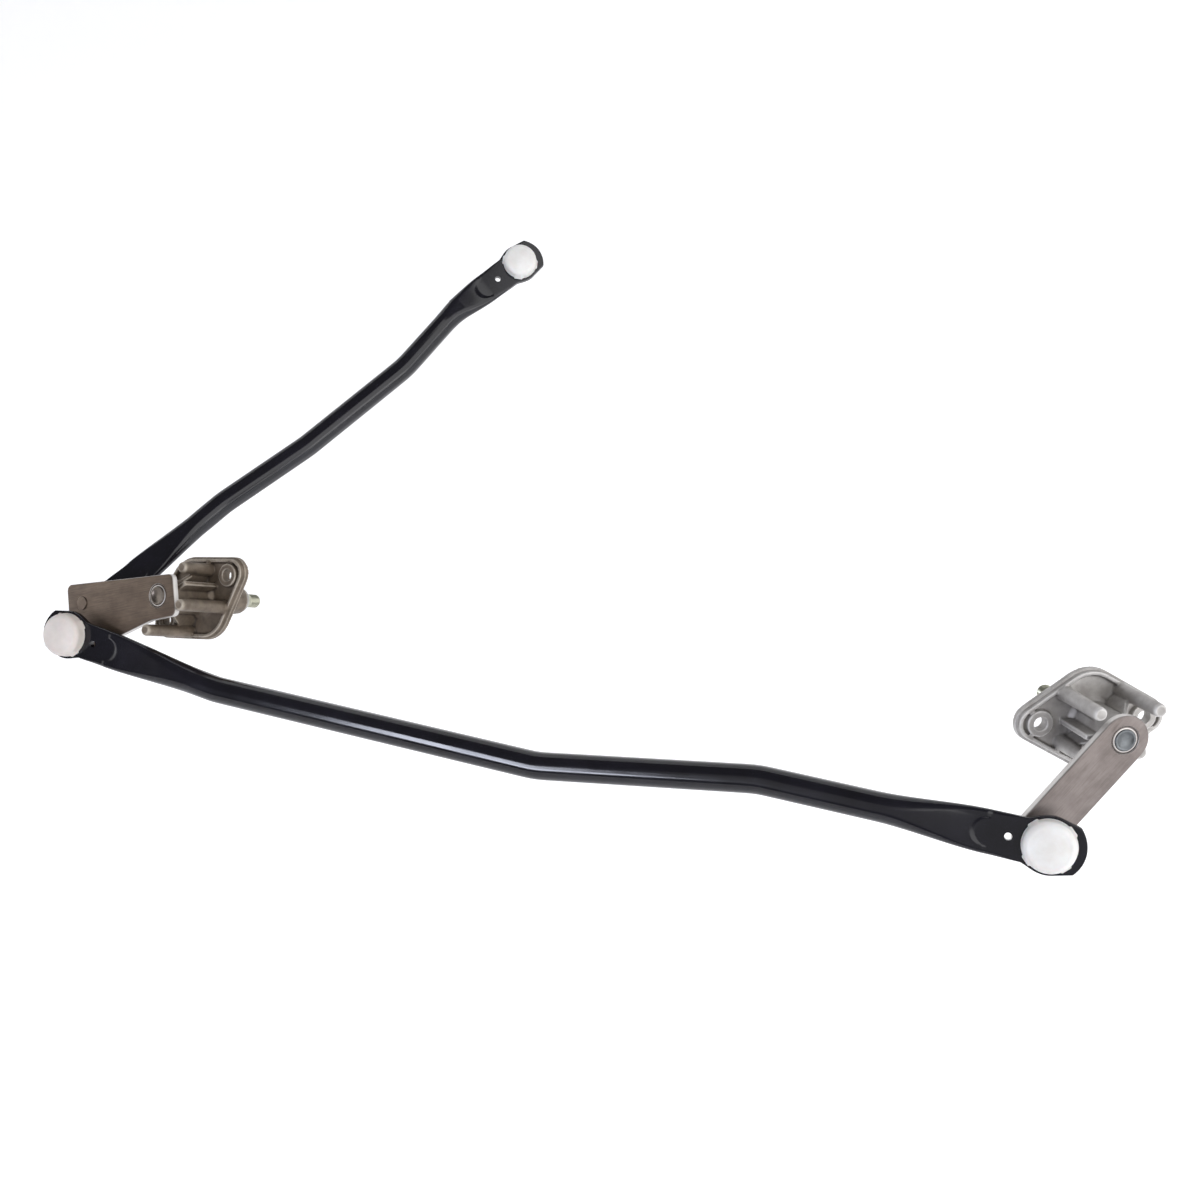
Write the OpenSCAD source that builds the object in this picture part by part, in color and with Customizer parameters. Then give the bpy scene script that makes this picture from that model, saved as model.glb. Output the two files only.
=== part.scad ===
// Wiper linkage: two cast pivots with levers, a connecting rod and a drive rod, lying as in the photo.
// Millimetres, +Z up. The origin is on the left spindle's axis, in the left casting's mounting face.
// The lever side of each pivot faces up, the threaded spindle ends face down.

/* [Resting pose] */
// Left pivot, first turn about X
left_turn_x = -9.9; // [-30:0.1:30]
// Left pivot, second turn about Y
left_turn_y = 21.6; // [-30:0.1:30]
// Left pivot, third turn about Z
left_turn_z = -160.9; // [-180:0.1:180]
// Left lever, turned about its spindle from the bolt line
left_lever_turn = -20.4; // [-22:0.1:90]
// Connecting rod, turned about its left ball
connecting_turn = 162; // [120:0.1:200]
// Connecting rod, dip at its left ball
connecting_dip = 11.9; // [0:0.1:20]
// Right lever, roll at its ball
right_roll = -28.4; // [-29:0.1:0]
// Right lever, dip at its ball
right_dip = -6.9; // [-9:0.1:9]
// Right lever, turned about its ball
right_turn = -120.8; // [-150:0.1:-90]
// Right casting, turned about the spindle from its lever
right_casting_turn = 132; // [60:0.1:165]
// Drive rod, turned about its lever ball
drive_turn = -137.1; // [-150:0.1:-125]
// Drive rod, dip at its lever ball
drive_dip = 30; // [20:0.1:30]

/* [Pivot castings] */
// Bolt hole centre from the spindle axis
bolt_half = 26.5; // [24:0.5:32]
// Bolt hole diameter
bolt_d = 6.5; // [5:0.1:8]
// Bolt boss diameter
boss_d = 13; // [11:0.5:15]
// Bolt boss height over the mounting face
boss_h = 6; // [5.6:0.1:8]
// Centre of the round ends of the flange from the axis
flange_end_x = 28.5; // [26:0.5:36]
// Radius of the round ends of the flange
flange_end_r = 9.5; // [9:0.5:13]
// Centre of the broad rounds of the flange from the bolt line
flange_side_y = 7.5; // [4:0.5:10]
// Radius of the broad rounds of the flange
flange_side_r = 18; // [15:0.5:22]
// Shift of the broad rounds along the bolt line, against each other
flange_skew = 1.5; // [0:0.5:3]
// Height of the outer step of the flange
step_h = 3.2; // [2.5:0.1:4]
// Width of the outer step
step_w = 1.2; // [0.8:0.1:2]
// Top of the rim
rim_h = 5.4; // [4.6:0.1:7]
// Width of the rim
rim_w = 1.9; // [1.5:0.1:3]
// Thickness of the flange floor inside the rim
floor_t = 3.4; // [3:0.1:4.2]
// Bearing barrel diameter
barrel_d = 19; // [17:0.5:22]
// Top of the barrel over the mounting face
barrel_h = 29.5; // [26:0.5:34]
// Width of the blend at the foot of the barrel
barrel_blend = 2.5; // [1:0.5:4]
// Nose length below the mounting face
nose_l = 27.5; // [24:0.5:34]
// Nose diameter at its end
nose_end_d = 16; // [15.5:0.5:19]
// Nose diameter at the flange
nose_root_d = 22.5; // [20:0.5:30]
// Post centre from the axis, along the bolt line
post_x = 14.5; // [13:0.5:17]
// Tall post centre from the bolt line
post_tall_y = 14; // [13:0.5:16]
// Short post centre from the bolt line
post_short_y = 10.5; // [10:0.5:14]
// Tall posts, top over the mounting face
post_tall_h = 37.5; // [33:0.5:42]
// Short posts, top over the mounting face
post_short_h = 25; // [14:0.5:26]
// Post diameter at the foot
post_foot_d = 7.6; // [6:0.1:9]
// Post diameter at the top
post_top_d = 6.4; // [5:0.1:7]
// Pad on the top of a post, diameter
post_pad_d = 5.6; // [3:0.1:6]
// Pad on the top of a post, height
post_pad_h = 0.8; // [0.4:0.1:1.5]
// Thickness of the ribs and webs
rib_t = 2.6; // [2:0.1:4]
// Outer edge of the ribs on the bolt line, from the axis
rib_reach = 15.5; // [13:0.5:17]
// Top of the ribs on the bolt line under the top of the barrel
rib_drop = 1.5; // [0.5:0.1:4]
// Webs between posts and barrel, height at the post
web_post_h = 11; // [8:0.5:14]
// Webs between posts and barrel, height at the barrel
web_barrel_h = 22; // [14:0.5:24]

/* [Spindles and bearings] */
// Spindle diameter in the bushes
spindle_d = 10; // [9:0.1:11]
// Spindle length past the nose
spindle_out = 15.6; // [15.4:0.1:24]
// Thread diameter at the arm end
thread_d = 8; // [6:0.1:8.6]
// Plain thread length up to the tip chamfer
thread_l = 7.5; // [6:0.1:9]
// Taper length between thread and shaft
taper_l = 4.5; // [3:0.1:5]
// Chamfer at the tip
tip_chamfer = 1.2; // [0.5:0.1:2]
// Bush outer diameter
bush_d = 12.4; // [12:0.1:13]
// Bush length
bush_l = 11; // [8:0.5:14]
// Grease room between the bushes, diameter
grease_d = 11.4; // [11.2:0.1:11.8]
// Seal ring thickness
seal_t = 1.8; // [1.4:0.1:2.2]
// Thrust washer diameter
washer_d = 17; // [14.5:0.5:19]
// Thrust washer thickness
washer_t = 1.2; // [0.8:0.1:2]
// Clip washer thickness
clip_washer_t = 0.8; // [0.5:0.1:1.2]
// Retaining clip thickness
clip_t = 1; // [0.8:0.1:1.4]
// Retaining clip outer diameter
clip_d = 14; // [12:0.5:16]
// Clip groove diameter
groove_d = 8.6; // [8:0.1:8.8]

/* [Levers] */
// Plate thickness
lever_t = 3.5; // [3:0.1:5]
// Diameter of the staked spindle head
stake_d = 10.5; // [10.2:0.1:11.4]
// Height of the staked head over the plate
stake_h = 0.5; // [0.3:0.1:0.8]
// Outer diameter of the stake ring pressed in the plate
stake_ring_d = 13.2; // [12.6:0.1:15]
// Depth of the stake ring
stake_ring_depth = 0.5; // [0.2:0.1:0.9]
// Width of the bead round the staked head at its foot
bead_foot_w = 1.2; // [0.8:0.1:1.2]
// Width of the bead at its top
bead_top_w = 0.3; // [0.1:0.1:0.6]
// Right lever, spindle to ball
right_lever_l = 58.8; // [50:0.1:72]
// Right lever width
right_lever_w = 23.5; // [20:0.1:26]
// Left lever, spindle to both balls, along the lever
left_lever_l = 60.7; // [55:0.1:72]
// Left lever, front ball from the lever line
front_ball_y = 13.8; // [12:0.1:16]
// Left lever, rear ball from the lever line
rear_ball_y = -4.7; // [-7:0.1:-3]
// Left lever, corner radius
left_corner_r = 3.6; // [2.5:0.1:4.5]
// Left lever, plate past the spindle
left_tail = 12.3; // [11:0.1:13]
// Left lever, upper half width at the spindle
left_upper_w = 10.8; // [10:0.1:12]
// Left lever, lower half width at the spindle
left_lower_w = 12.9; // [11.5:0.1:13.5]
// Left lever, start of the flare along the lower edge
left_flare_x = 7; // [4:0.5:12]
// Left lever, plate past the balls
left_head = 12; // [11:0.1:14]
// Left lever, plate edge above the rear ball
left_head_upper = 12.2; // [11:0.1:15]
// Left lever, plate edge below the front ball
left_head_lower = 12; // [11:0.1:14]

/* [Ball joints] */
// Ball diameter
ball_d = 15; // [14:0.1:16]
// Ball centre over the plate
ball_h = 10.5; // [10.4:0.1:13]
// Stud neck diameter
neck_d = 7; // [6:0.1:7.4]
// Stud collar diameter
collar_d = 11; // [10:0.1:12]
// Stud collar thickness
collar_t = 1.6; // [1:0.1:2]
// Stud shank diameter in the plate
shank_d = 8; // [6:0.1:9]
// Rivet head height on the free face of the rear stud
rivet_h = 0.6; // [0.4:0.1:1]
// Largest lean of a stud in its socket
lean_max = 31; // [30:1:33]
// Socket cap diameter on the levers
cap_d = 24.4; // [23:0.1:26]
// Socket cap diameter at the motor end
motor_cap_d = 20.8; // [20.4:0.1:22]
// Socket cap height over the ball centre
cap_h = 10; // [9.4:0.1:12]
// Round on the shoulder of the cap
cap_round = 3.4; // [2:0.1:4.5]
// Rise of the crown over the shoulder
crown_h = 0.9; // [0.4:0.1:1.4]
// Socket foot flange thickness
foot_t = 1.3; // [1:0.1:2]
// Step of the foot flange past the cap
foot_step = 0.15; // [0.1:0.05:0.3]
// Reach of the flange tabs past the cap
tab_reach = 0.7; // [0.4:0.1:1.2]
// Width of a flange tab
tab_w = 5; // [4:0.1:7]
// Number of flange tabs
tab_count = 4; // [3:1:6]
// Socket hole in the rod ends on the levers, diameter
seat_d = 21; // [19.5:0.1:21.6]
// Socket hole in the motor end, diameter
motor_seat_d = 18.2; // [17.6:0.1:18.8]
// Snap lip under the rod end, past the hole
snap_reach = 0.6; // [0.3:0.1:0.9]

/* [Rods] */
// Connecting rod, tube diameter
connecting_tube_d = 14; // [12:0.1:15]
// Drive rod, tube diameter
drive_tube_d = 13; // [12:0.1:15]
// Thickness of the flattened ends
flat_t = 3.6; // [3.2:0.1:4]
// Width of the flattened ends on the levers
flat_w = 20.6; // [18:0.1:22]
// Width of the flattened motor end
motor_flat_w = 18.6; // [17:0.1:20]
// Tip radius of the rod ends on the levers
tip_r = 16.2; // [15.8:0.1:18]
// Tip radius of the motor end
motor_tip_r = 15.2; // [14:0.1:16]
// Half angle of the tip arc
tip_half_angle = 42; // [30:1:50]
// Radius of the eye beside a socket on the levers
eye_r = 13.6; // [13.2:0.1:15]
// Radius of the eye beside the motor socket
motor_eye_r = 11.8; // [11.4:0.1:13]
// Tooling hole diameter
pilot_d = 3.5; // [2.5:0.1:4.5]
// Tooling hole from the ball centre
pilot_x = 18; // [17:0.1:22]
// Bend radius on the tube's centre line
bend_r = 60; // [40:1:80]
// Connecting rod, ball to ball
connecting_l = 535.6; // [520:0.1:560]
// Connecting rod, first bend along the rod
connecting_bend1_x = 100; // [90:0.5:120]
// Connecting rod, first bend off the ball line
connecting_bend1_y = -12.5; // [-20:0.1:0]
// Connecting rod, second bend along the rod
connecting_bend2_x = 289; // [260:0.5:310]
// Connecting rod, second bend off the ball line
connecting_bend2_y = -15.3; // [-25:0.1:0]
// Connecting rod, third bend along the rod
connecting_bend3_x = 400.5; // [370:0.5:420]
// Connecting rod, third bend off the ball line
connecting_bend3_y = 1.6; // [-8:0.1:8]
// Drive rod, lever ball to motor ball along the rod
drive_l = 331.9; // [325:0.1:350]
// Drive rod, twist of its motor end against its lever end
drive_twist = 24; // [0:1:40]
// Drive rod, first bend along the rod
drive_bend1_x = 92; // [86:0.5:100]
// Drive rod, first bend to the side
drive_bend1_y = 1.2; // [-5:0.1:8]
// Drive rod, second bend along the rod
drive_bend2_x = 152; // [140:0.5:165]
// Drive rod, second bend to the side
drive_bend2_y = -5.3; // [-10:0.1:4]
// Drive rod, third bend along the rod
drive_bend3_x = 230; // [215:0.5:240]
// Drive rod, third bend to the side
drive_bend3_y = -6; // [-10:0.1:4]
// Drive rod, fourth bend along the rod
drive_bend4_x = 280; // [270:0.5:285]
// Drive rod, fourth bend to the side
drive_bend4_y = 3.1; // [-2:0.1:8]
// Flat length from the ball to where the tube starts to open
flat_l = 26; // [24:0.5:32]
// Connecting rod, flat to round at the left end
connecting_open_left = 68; // [50:0.5:80]
// Connecting rod, flat to round at the right end
connecting_open_right = 54; // [40:0.5:70]
// Drive rod, flat to round at the lever end
drive_open_lever = 52; // [40:0.5:60]
// Drive rod, flat to round at the motor end
drive_open_motor = 40; // [32:0.5:50]

/* [Clearances] */
// Radial running clearance of spindles and balls
run_gap = 0.04; // [0.02:0.01:0.08]
// Radial clearance of fixed fits
fit_gap = 0.02; // [0.01:0.01:0.05]
// End float of the spindles
float_gap = 0.2; // [0.1:0.05:0.4]

/* [Hidden] */
$fn = 64;
tube_sides = 28;
ring_gap = 14;
bend_steps = 5;
flat_power = 6;
inset = 0.05;
arc_steps = 10;
eps = 0.01;

zinc_grey = "#8a8079";
cast_grey = "#a9a6a4";
paint_black = "#1f1d26";
cap_white = "#f0efec";
bronze = "#a07a44";
rubber_black = "#222222";
steel = "#b9b7b2";

lever_z = barrel_h + washer_t + float_gap;
lever_top = lever_z + lever_t;
tip_z = -nose_l - spindle_out;
clip_washer_z = -nose_l - clip_washer_t;
clip_z = clip_washer_z - float_gap - clip_t;
seal_room = seal_t + float_gap;
ball_r = ball_d / 2;
cup_r = ball_r + run_gap;
mouth_angle = lean_max + asin(neck_d / ball_d) + 2;
mouth_z = -cup_r * cos(mouth_angle);

// Rod ends: [width of the flat, tip radius, eye radius, socket hole]
lever_end = [flat_w, tip_r, eye_r, seat_d];
motor_end = [motor_flat_w, motor_tip_r, motor_eye_r, motor_seat_d];

connecting_path = [
    [0, 0, 0],
    [connecting_bend1_x, connecting_bend1_y, 0],
    [connecting_bend2_x, connecting_bend2_y, 0],
    [connecting_bend3_x, connecting_bend3_y, 0],
    [connecting_l, 0, 0]
];
drive_path = [
    [0, 0, 0],
    [drive_bend1_x, drive_bend1_y, 0],
    [drive_bend2_x, drive_bend2_y, 0],
    [drive_bend3_x, drive_bend3_y, 0],
    [drive_bend4_x, drive_bend4_y, 0],
    [drive_l, 0, 0]
];

function unit(v) = v / norm(v);
function last(list) = list[len(list) - 1];

// Frame at point o with X along x and Z as near to up as it can be
function axes(o, x, up) = let (
    ux = unit(x),
    uz = unit(up - (up * ux) * ux),
    uy = cross(uz, ux)
) [
    [ux.x, uy.x, uz.x, o.x],
    [ux.y, uy.y, uz.y, o.y],
    [ux.z, uy.z, uz.z, o.z],
    [0, 0, 0, 1]
];

// The up direction of a rod, turned about the rod
function twisted_up(twist) = [0, -sin(twist), cos(twist)];

function way(path, i) = unit(path[i + 1] - path[i]);
function bend_angle(path, i) = acos(min(1, way(path, i - 1) * way(path, i)));
function bend_trim(path, i) = bend_r * tan(bend_angle(path, i) / 2);

// Places: each child sits in the frame of the named piece
module on_left_pivot() {
    rotate([left_turn_x, left_turn_y, left_turn_z])
        children();
}

module on_left_lever() {
    on_left_pivot()
        rotate([0, 0, left_lever_turn])
            children();
}

module on_connecting_rod() {
    on_left_lever()
        translate([left_lever_l, front_ball_y, lever_top + ball_h])
            rotate([0, connecting_dip, connecting_turn])
                children();
}

module on_right_lever() {
    on_connecting_rod()
        translate(last(connecting_path))
            rotate([right_roll, right_dip, right_turn])
                translate([-right_lever_l, 0, -lever_top - ball_h])
                    children();
}

module on_right_pivot() {
    on_right_lever()
        rotate([0, 0, right_casting_turn])
            children();
}

module on_drive_rod() {
    on_left_lever()
        translate([left_lever_l, rear_ball_y, lever_z - ball_h])
            rotate([0, drive_dip, drive_turn])
                children();
}

module at_rod_start(path) {
    multmatrix(axes(path[0], path[1] - path[0], [0, 0, 1]))
        children();
}

module at_rod_end(path, twist) {
    n = len(path) - 1;
    multmatrix(axes(path[n], path[n - 1] - path[n], twisted_up(twist)))
        children();
}

// Ends of the common tangent of two circles, on the right of the way from the first to the second
function tangent(c1, r1, c2, r2) = let (
    way = c2 - c1,
    angle = atan2(way.y, way.x) - acos((r1 - r2) / norm(way)),
    out = [cos(angle), sin(angle)]
) [c1 + r1 * out, c2 + r2 * out];

// Rounded rhombus of the flange, made of four arcs and their common tangents
module flange_outline(inset) {
    end_r = flange_end_r - inset;
    side_r = flange_side_r - inset;
    end = [flange_end_x, 0];
    side = [-flange_skew, flange_side_y];
    polygon(concat(
        tangent(end, end_r, side, side_r),
        tangent(side, side_r, -end, end_r),
        tangent(-end, end_r, -side, side_r),
        tangent(-side, side_r, end, end_r)
    ));
    for (s = [-1, 1]) {
        translate(s * end)
            circle(end_r);
        translate(s * side)
            circle(side_r);
    }
}

module post(h) {
    cylinder(d1 = post_foot_d, d2 = post_top_d, h = h - post_pad_h);
    cylinder(d = post_pad_d, h = h);
}

// Web from the barrel to a post, its top sloping down to the post
module post_web(foot, root_z) {
    reach = norm(foot);
    rotate([90, 0, atan2(foot.y, foot.x)])
        translate([0, 0, -rib_t / 2])
            linear_extrude(rib_t)
                polygon([
                    [0, root_z], [reach, root_z], [reach, web_post_h],
                    [barrel_d / 2, web_barrel_h], [0, web_barrel_h]
                ]);
}

module flange() {
    difference() {
        union() {
            linear_extrude(step_h)
                flange_outline(0);
            linear_extrude(rim_h)
                flange_outline(step_w);
        }
        translate([0, 0, floor_t])
            linear_extrude(rim_h)
                flange_outline(step_w + rim_w);
    }
}

// Barrel, bosses, posts and ribs stand in the floor of the flange
module casting() {
    root_z = floor_t / 2;
    color(cast_grey)
        difference() {
            union() {
                flange();
                for (s = [-1, 1]) {
                    translate([s * bolt_half, 0, root_z])
                        cylinder(d = boss_d, h = boss_h - root_z);
                    translate([s * post_x, post_tall_y, root_z])
                        post(post_tall_h - root_z);
                    translate([s * post_x, -post_short_y, root_z])
                        post(post_short_h - root_z);
                    post_web([s * post_x, post_tall_y], root_z);
                    post_web([s * post_x, -post_short_y], root_z);
                }
                translate([-rib_reach, -rib_t / 2, root_z])
                    cube([2 * rib_reach, rib_t, barrel_h - rib_drop - root_z]);
                translate([0, 0, -nose_l])
                    cylinder(d1 = nose_end_d, d2 = nose_root_d, h = nose_l);
                translate([0, 0, -root_z])
                    cylinder(d = barrel_d, h = barrel_h + root_z);
                translate([0, 0, floor_t])
                    cylinder(d1 = barrel_d + 2 * barrel_blend, d2 = barrel_d, h = barrel_blend);
            }
            for (s = [-1, 1])
                translate([s * bolt_half, 0, -eps])
                    cylinder(d = bolt_d, h = boss_h + 2 * eps);
            translate([0, 0, -nose_l - eps])
                cylinder(d = grease_d, h = nose_l + barrel_h + 2 * eps);
            translate([0, 0, -nose_l - eps])
                cylinder(r = bush_d / 2 + fit_gap, h = bush_l + eps);
            translate([0, 0, barrel_h - seal_room - bush_l])
                cylinder(r = bush_d / 2 + fit_gap, h = bush_l + seal_room + eps);
        }
}

module bush(z) {
    color(bronze)
        translate([0, 0, z])
            difference() {
                cylinder(d = bush_d, h = bush_l);
                translate([0, 0, -eps])
                    cylinder(r = spindle_d / 2 + run_gap, h = bush_l + 2 * eps);
            }
}

module upper_bush() {
    bush(barrel_h - seal_room - bush_l);
}

module lower_bush() {
    bush(-nose_l);
}

module shaft_seal() {
    inner = spindle_d / 2 + run_gap;
    color(rubber_black)
        translate([0, 0, barrel_h - seal_t])
            difference() {
                cylinder(d = bush_d, h = seal_t);
                translate([0, 0, -eps])
                    cylinder(r = inner, h = seal_t + 2 * eps);
            }
}

module thrust_washer() {
    color(steel)
        translate([0, 0, barrel_h])
            difference() {
                cylinder(d = washer_d, h = washer_t);
                translate([0, 0, -eps])
                    cylinder(r = spindle_d / 2 + run_gap, h = washer_t + 2 * eps);
            }
}

module clip_washer() {
    color(steel)
        translate([0, 0, clip_washer_z])
            difference() {
                cylinder(d = clip_d, h = clip_washer_t);
                translate([0, 0, -eps])
                    cylinder(r = spindle_d / 2 + run_gap, h = clip_washer_t + 2 * eps);
            }
}

// Open clip with three prongs in the spindle's groove
module retaining_clip() {
    prong_w = groove_d / 3;
    color(steel)
        translate([0, 0, clip_z])
            difference() {
                cylinder(d = clip_d, h = clip_t);
                translate([0, 0, -eps])
                    cylinder(r = groove_d / 2 + fit_gap, h = clip_t + 2 * eps);
                translate([0, -groove_d / 2 - fit_gap, -eps])
                    cube([clip_d, groove_d + 2 * fit_gap, clip_t + 2 * eps]);
                for (a = [120, 240])
                    rotate([0, 0, a])
                        translate([0, -prong_w / 2, -eps])
                            cube([clip_d / 2 - prong_w / 2, prong_w, clip_t + 2 * eps]);
            }
}

module spindle() {
    shaft_r = spindle_d / 2;
    stake_r = stake_d / 2;
    thread_r = thread_d / 2;
    thread_top = tip_z + tip_chamfer + thread_l;
    color(steel)
        rotate_extrude()
            polygon([
                [0, tip_z],
                [thread_r - tip_chamfer, tip_z],
                [thread_r, tip_z + tip_chamfer],
                [thread_r, thread_top],
                [shaft_r, thread_top + taper_l],
                [shaft_r, clip_z - fit_gap],
                [groove_d / 2, clip_z - fit_gap],
                [groove_d / 2, clip_z + clip_t + fit_gap],
                [shaft_r, clip_z + clip_t + fit_gap],
                [shaft_r, lever_z],
                [stake_r, lever_z],
                [stake_r, lever_top + stake_h / 2],
                [stake_r - stake_h, lever_top + stake_h],
                [stake_r - 2 * stake_h, lever_top + stake_h],
                [stake_r - 4 * stake_h, lever_top],
                [0, lever_top]
            ]);
}

// Outline with rounded corners, from the corner centres in turning order
module rounded_outline(corners, r) {
    n = len(corners);
    polygon(corners);
    for (i = [0 : n - 1]) {
        p = corners[i];
        q = corners[(i + 1) % n];
        out = r * unit([q.y - p.y, p.x - q.x]);
        polygon([p, q, q + out, p + out]);
        translate(p)
            circle(r);
    }
}

// Holes of a lever in its own frame, Z from the back face
module lever_holes(studs) {
    translate([0, 0, -eps])
        cylinder(r = stake_d / 2 + fit_gap, h = lever_t + 2 * eps);
    translate([0, 0, lever_t - stake_ring_depth])
        cylinder(d = stake_ring_d, h = lever_t);
    for (s = studs)
        translate([s.x, s.y, -eps])
            cylinder(r = shank_d / 2 + fit_gap, h = lever_t + 2 * eps);
}

module stake_bead() {
    hole_r = stake_d / 2 + fit_gap;
    translate([0, 0, lever_t - stake_ring_depth - eps])
        difference() {
            cylinder(r1 = stake_d / 2 + bead_foot_w, r2 = hole_r + bead_top_w, h = stake_ring_depth);
            translate([0, 0, -eps])
                cylinder(r = hole_r, h = lever_t);
        }
}

module lever_plate(studs) {
    color(zinc_grey)
        translate([0, 0, lever_z]) {
            difference() {
                linear_extrude(lever_t)
                    children();
                lever_holes(studs);
            }
            stake_bead();
        }
}

module right_lever_plate() {
    lever_plate([[right_lever_l, 0]]) {
        circle(d = right_lever_w);
        translate([0, -right_lever_w / 2])
            square([right_lever_l, right_lever_w]);
        translate([right_lever_l, 0])
            circle(d = right_lever_w);
    }
}

module left_lever_plate() {
    r = left_corner_r;
    head_x = left_lever_l + left_head - r;
    lever_plate([[left_lever_l, front_ball_y], [left_lever_l, rear_ball_y]])
        rounded_outline([
            [-left_tail + r, -left_upper_w + r],
            [head_x, rear_ball_y - left_head_upper + r],
            [head_x, front_ball_y + left_head_lower - r],
            [left_flare_x, left_lower_w - r],
            [-left_tail + r, left_lower_w - r]
        ], r);
}

// Ball stud: plate's front face at z = 0, ball above it, shank through the plate
module ball_stud(head_h) {
    color(steel) {
        translate([0, 0, ball_h])
            sphere(r = ball_r);
        cylinder(d = neck_d, h = ball_h);
        cylinder(d = collar_d, h = collar_t);
        translate([0, 0, -lever_t - head_h])
            cylinder(d = shank_d, h = lever_t + head_h + eps);
    }
}

// Points of an arc round a centre
function arc(centre, r, from, to) = [
    for (i = [0 : arc_steps])
        let (a = from + (to - from) * i / arc_steps)
        centre + r * [cos(a), sin(a)]
];

// Socket round a ball centre, cap towards +Z, in a rod end with a hole of the given diameter
module socket(cap, hole) {
    cap_r = cap / 2;
    foot_r = cap_r + foot_step;
    plug_r = hole / 2 - fit_gap;
    seat_z = flat_t / 2;
    shoulder_z = cap_h - crown_h;
    crown_r = cap_r - cap_round;
    crown_ball = (crown_r * crown_r + crown_h * crown_h) / (2 * crown_h);
    crown_edge = acos(crown_r / crown_ball);
    snap_z = -seat_z - fit_gap;
    color(cap_white)
        difference() {
            union() {
                rotate_extrude()
                    polygon(concat(
                        [
                            [0, mouth_z], [plug_r - snap_reach, mouth_z], [plug_r + snap_reach, snap_z],
                            [plug_r, snap_z], [plug_r, seat_z], [foot_r, seat_z],
                            [foot_r, seat_z + foot_t], [cap_r, seat_z + foot_t]
                        ],
                        arc([crown_r, shoulder_z - cap_round], cap_round, 0, 90),
                        arc([0, cap_h - crown_ball], crown_ball, crown_edge, 90)
                    ));
                for (i = [0 : tab_count - 1])
                    rotate([0, 0, (i + 0.5) * 360 / tab_count])
                        translate([cap_r / 2, -tab_w / 2, seat_z])
                            cube([cap_r / 2 + tab_reach, tab_w, foot_t]);
            }
            sphere(r = cup_r);
        }
}

// Stations along a rod: [place, direction], from flat to flat
function run_stations(path, i) = let (
    n = len(path) - 1,
    from = i == 0 ? flat_l - flat_t : bend_trim(path, i),
    to = norm(path[i + 1] - path[i]) - (i == n - 1 ? flat_l - flat_t : bend_trim(path, i + 1)),
    steps = ceil((to - from) / ring_gap)
) [
    for (k = [0 : steps])
        [path[i] + (from + (to - from) * k / steps) * way(path, i), way(path, i)]
];

function bend_stations(path, i) = let (
    before = way(path, i - 1),
    after = way(path, i),
    inward = unit(after - (after * before) * before),
    start = path[i] - bend_trim(path, i) * before
) [
    for (k = [1 : bend_steps - 1])
        let (a = bend_angle(path, i) * k / bend_steps)
        [
            start + bend_r * (sin(a) * before + (1 - cos(a)) * inward),
            cos(a) * before + sin(a) * inward
        ]
];

function stations(path) = let (n = len(path) - 1) [
    for (i = [0 : n - 1])
        each concat(run_stations(path, i), i < n - 1 ? bend_stations(path, i + 1) : [])
];

// How far the tube has opened at a distance from the ball: 0 flat, 1 round
function opened(distance, length) = let (f = max(0, min(1, (distance - flat_l) / length)))
    f * f * (3 - 2 * f);

function blend(a, b, f) = a + (b - a) * f;
function power(v, p) = sign(v) * pow(abs(v), p);

// One ring of the tube: a flat oval that opens to a circle
function ring(station, tube_d, twist, width, open) = let (
    frame = axes(station[0], station[1], twisted_up(twist)),
    half_w = blend(width - 2 * inset, tube_d, open) / 2,
    half_t = blend(flat_t - 2 * inset, tube_d, open) / 2,
    shape = 2 / blend(flat_power, 2, open)
) [
    for (k = [0 : tube_sides - 1])
        let (
            a = 360 * k / tube_sides,
            p = frame * [0, half_w * power(cos(a), shape), half_t * power(sin(a), shape), 1]
        )
        [p.x, p.y, p.z]
];

module tube(path, tube_d, twist, open_start, open_end, end) {
    line = stations(path);
    length = norm(last(path));
    round_from = flat_l + open_start;
    round_to = length - flat_l - open_end;
    rings = [
        for (s = line)
            let (
                distance = norm(s[0]),
                turned = max(0, min(1, (distance - round_from) / (round_to - round_from)))
            )
            ring(s, tube_d, twist * turned, distance < length / 2 ? flat_w : end[0], min(
                opened(distance, open_start),
                opened(norm(s[0] - last(path)), open_end)
            ))
    ];
    top = len(rings) - 1;
    n = tube_sides;
    polyhedron(
        points = [for (r = rings) each r],
        faces = concat(
            [[for (k = [0 : n - 1]) k]],
            [[for (k = [0 : n - 1]) top * n + n - 1 - k]],
            [
                for (i = [0 : top - 1], k = [0 : n - 1])
                    let (m = (k + 1) % n)
                    [i * n + k, (i + 1) * n + k, (i + 1) * n + m, i * n + m]
            ]
        )
    );
}

// Flattened end: ball centre at the origin, the rod leaves along +X
module rod_end_outline(width, tip, eye) {
    grip = tip_half_angle + acos(eye / tip);
    circle(eye);
    intersection() {
        circle(tip);
        polygon([
            [0, 0],
            2 * tip * [-cos(tip_half_angle), sin(tip_half_angle)],
            [-2 * tip, 0],
            2 * tip * [-cos(tip_half_angle), -sin(tip_half_angle)]
        ]);
    }
    for (s = [-1, 1])
        polygon([
            [0, 0],
            tip * [-cos(tip_half_angle), s * sin(tip_half_angle)],
            eye * [-cos(grip), s * sin(grip)]
        ]);
    translate([0, -width / 2])
        square([flat_l, width]);
}

module rod_end(end) {
    difference() {
        translate([0, 0, -flat_t / 2])
            linear_extrude(flat_t)
                rod_end_outline(end[0], end[1], end[2]);
        cylinder(d = end[3], h = 2 * flat_t, center = true);
        translate([pilot_x, 0, 0])
            cylinder(d = pilot_d, h = 2 * flat_t, center = true);
    }
}

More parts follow.
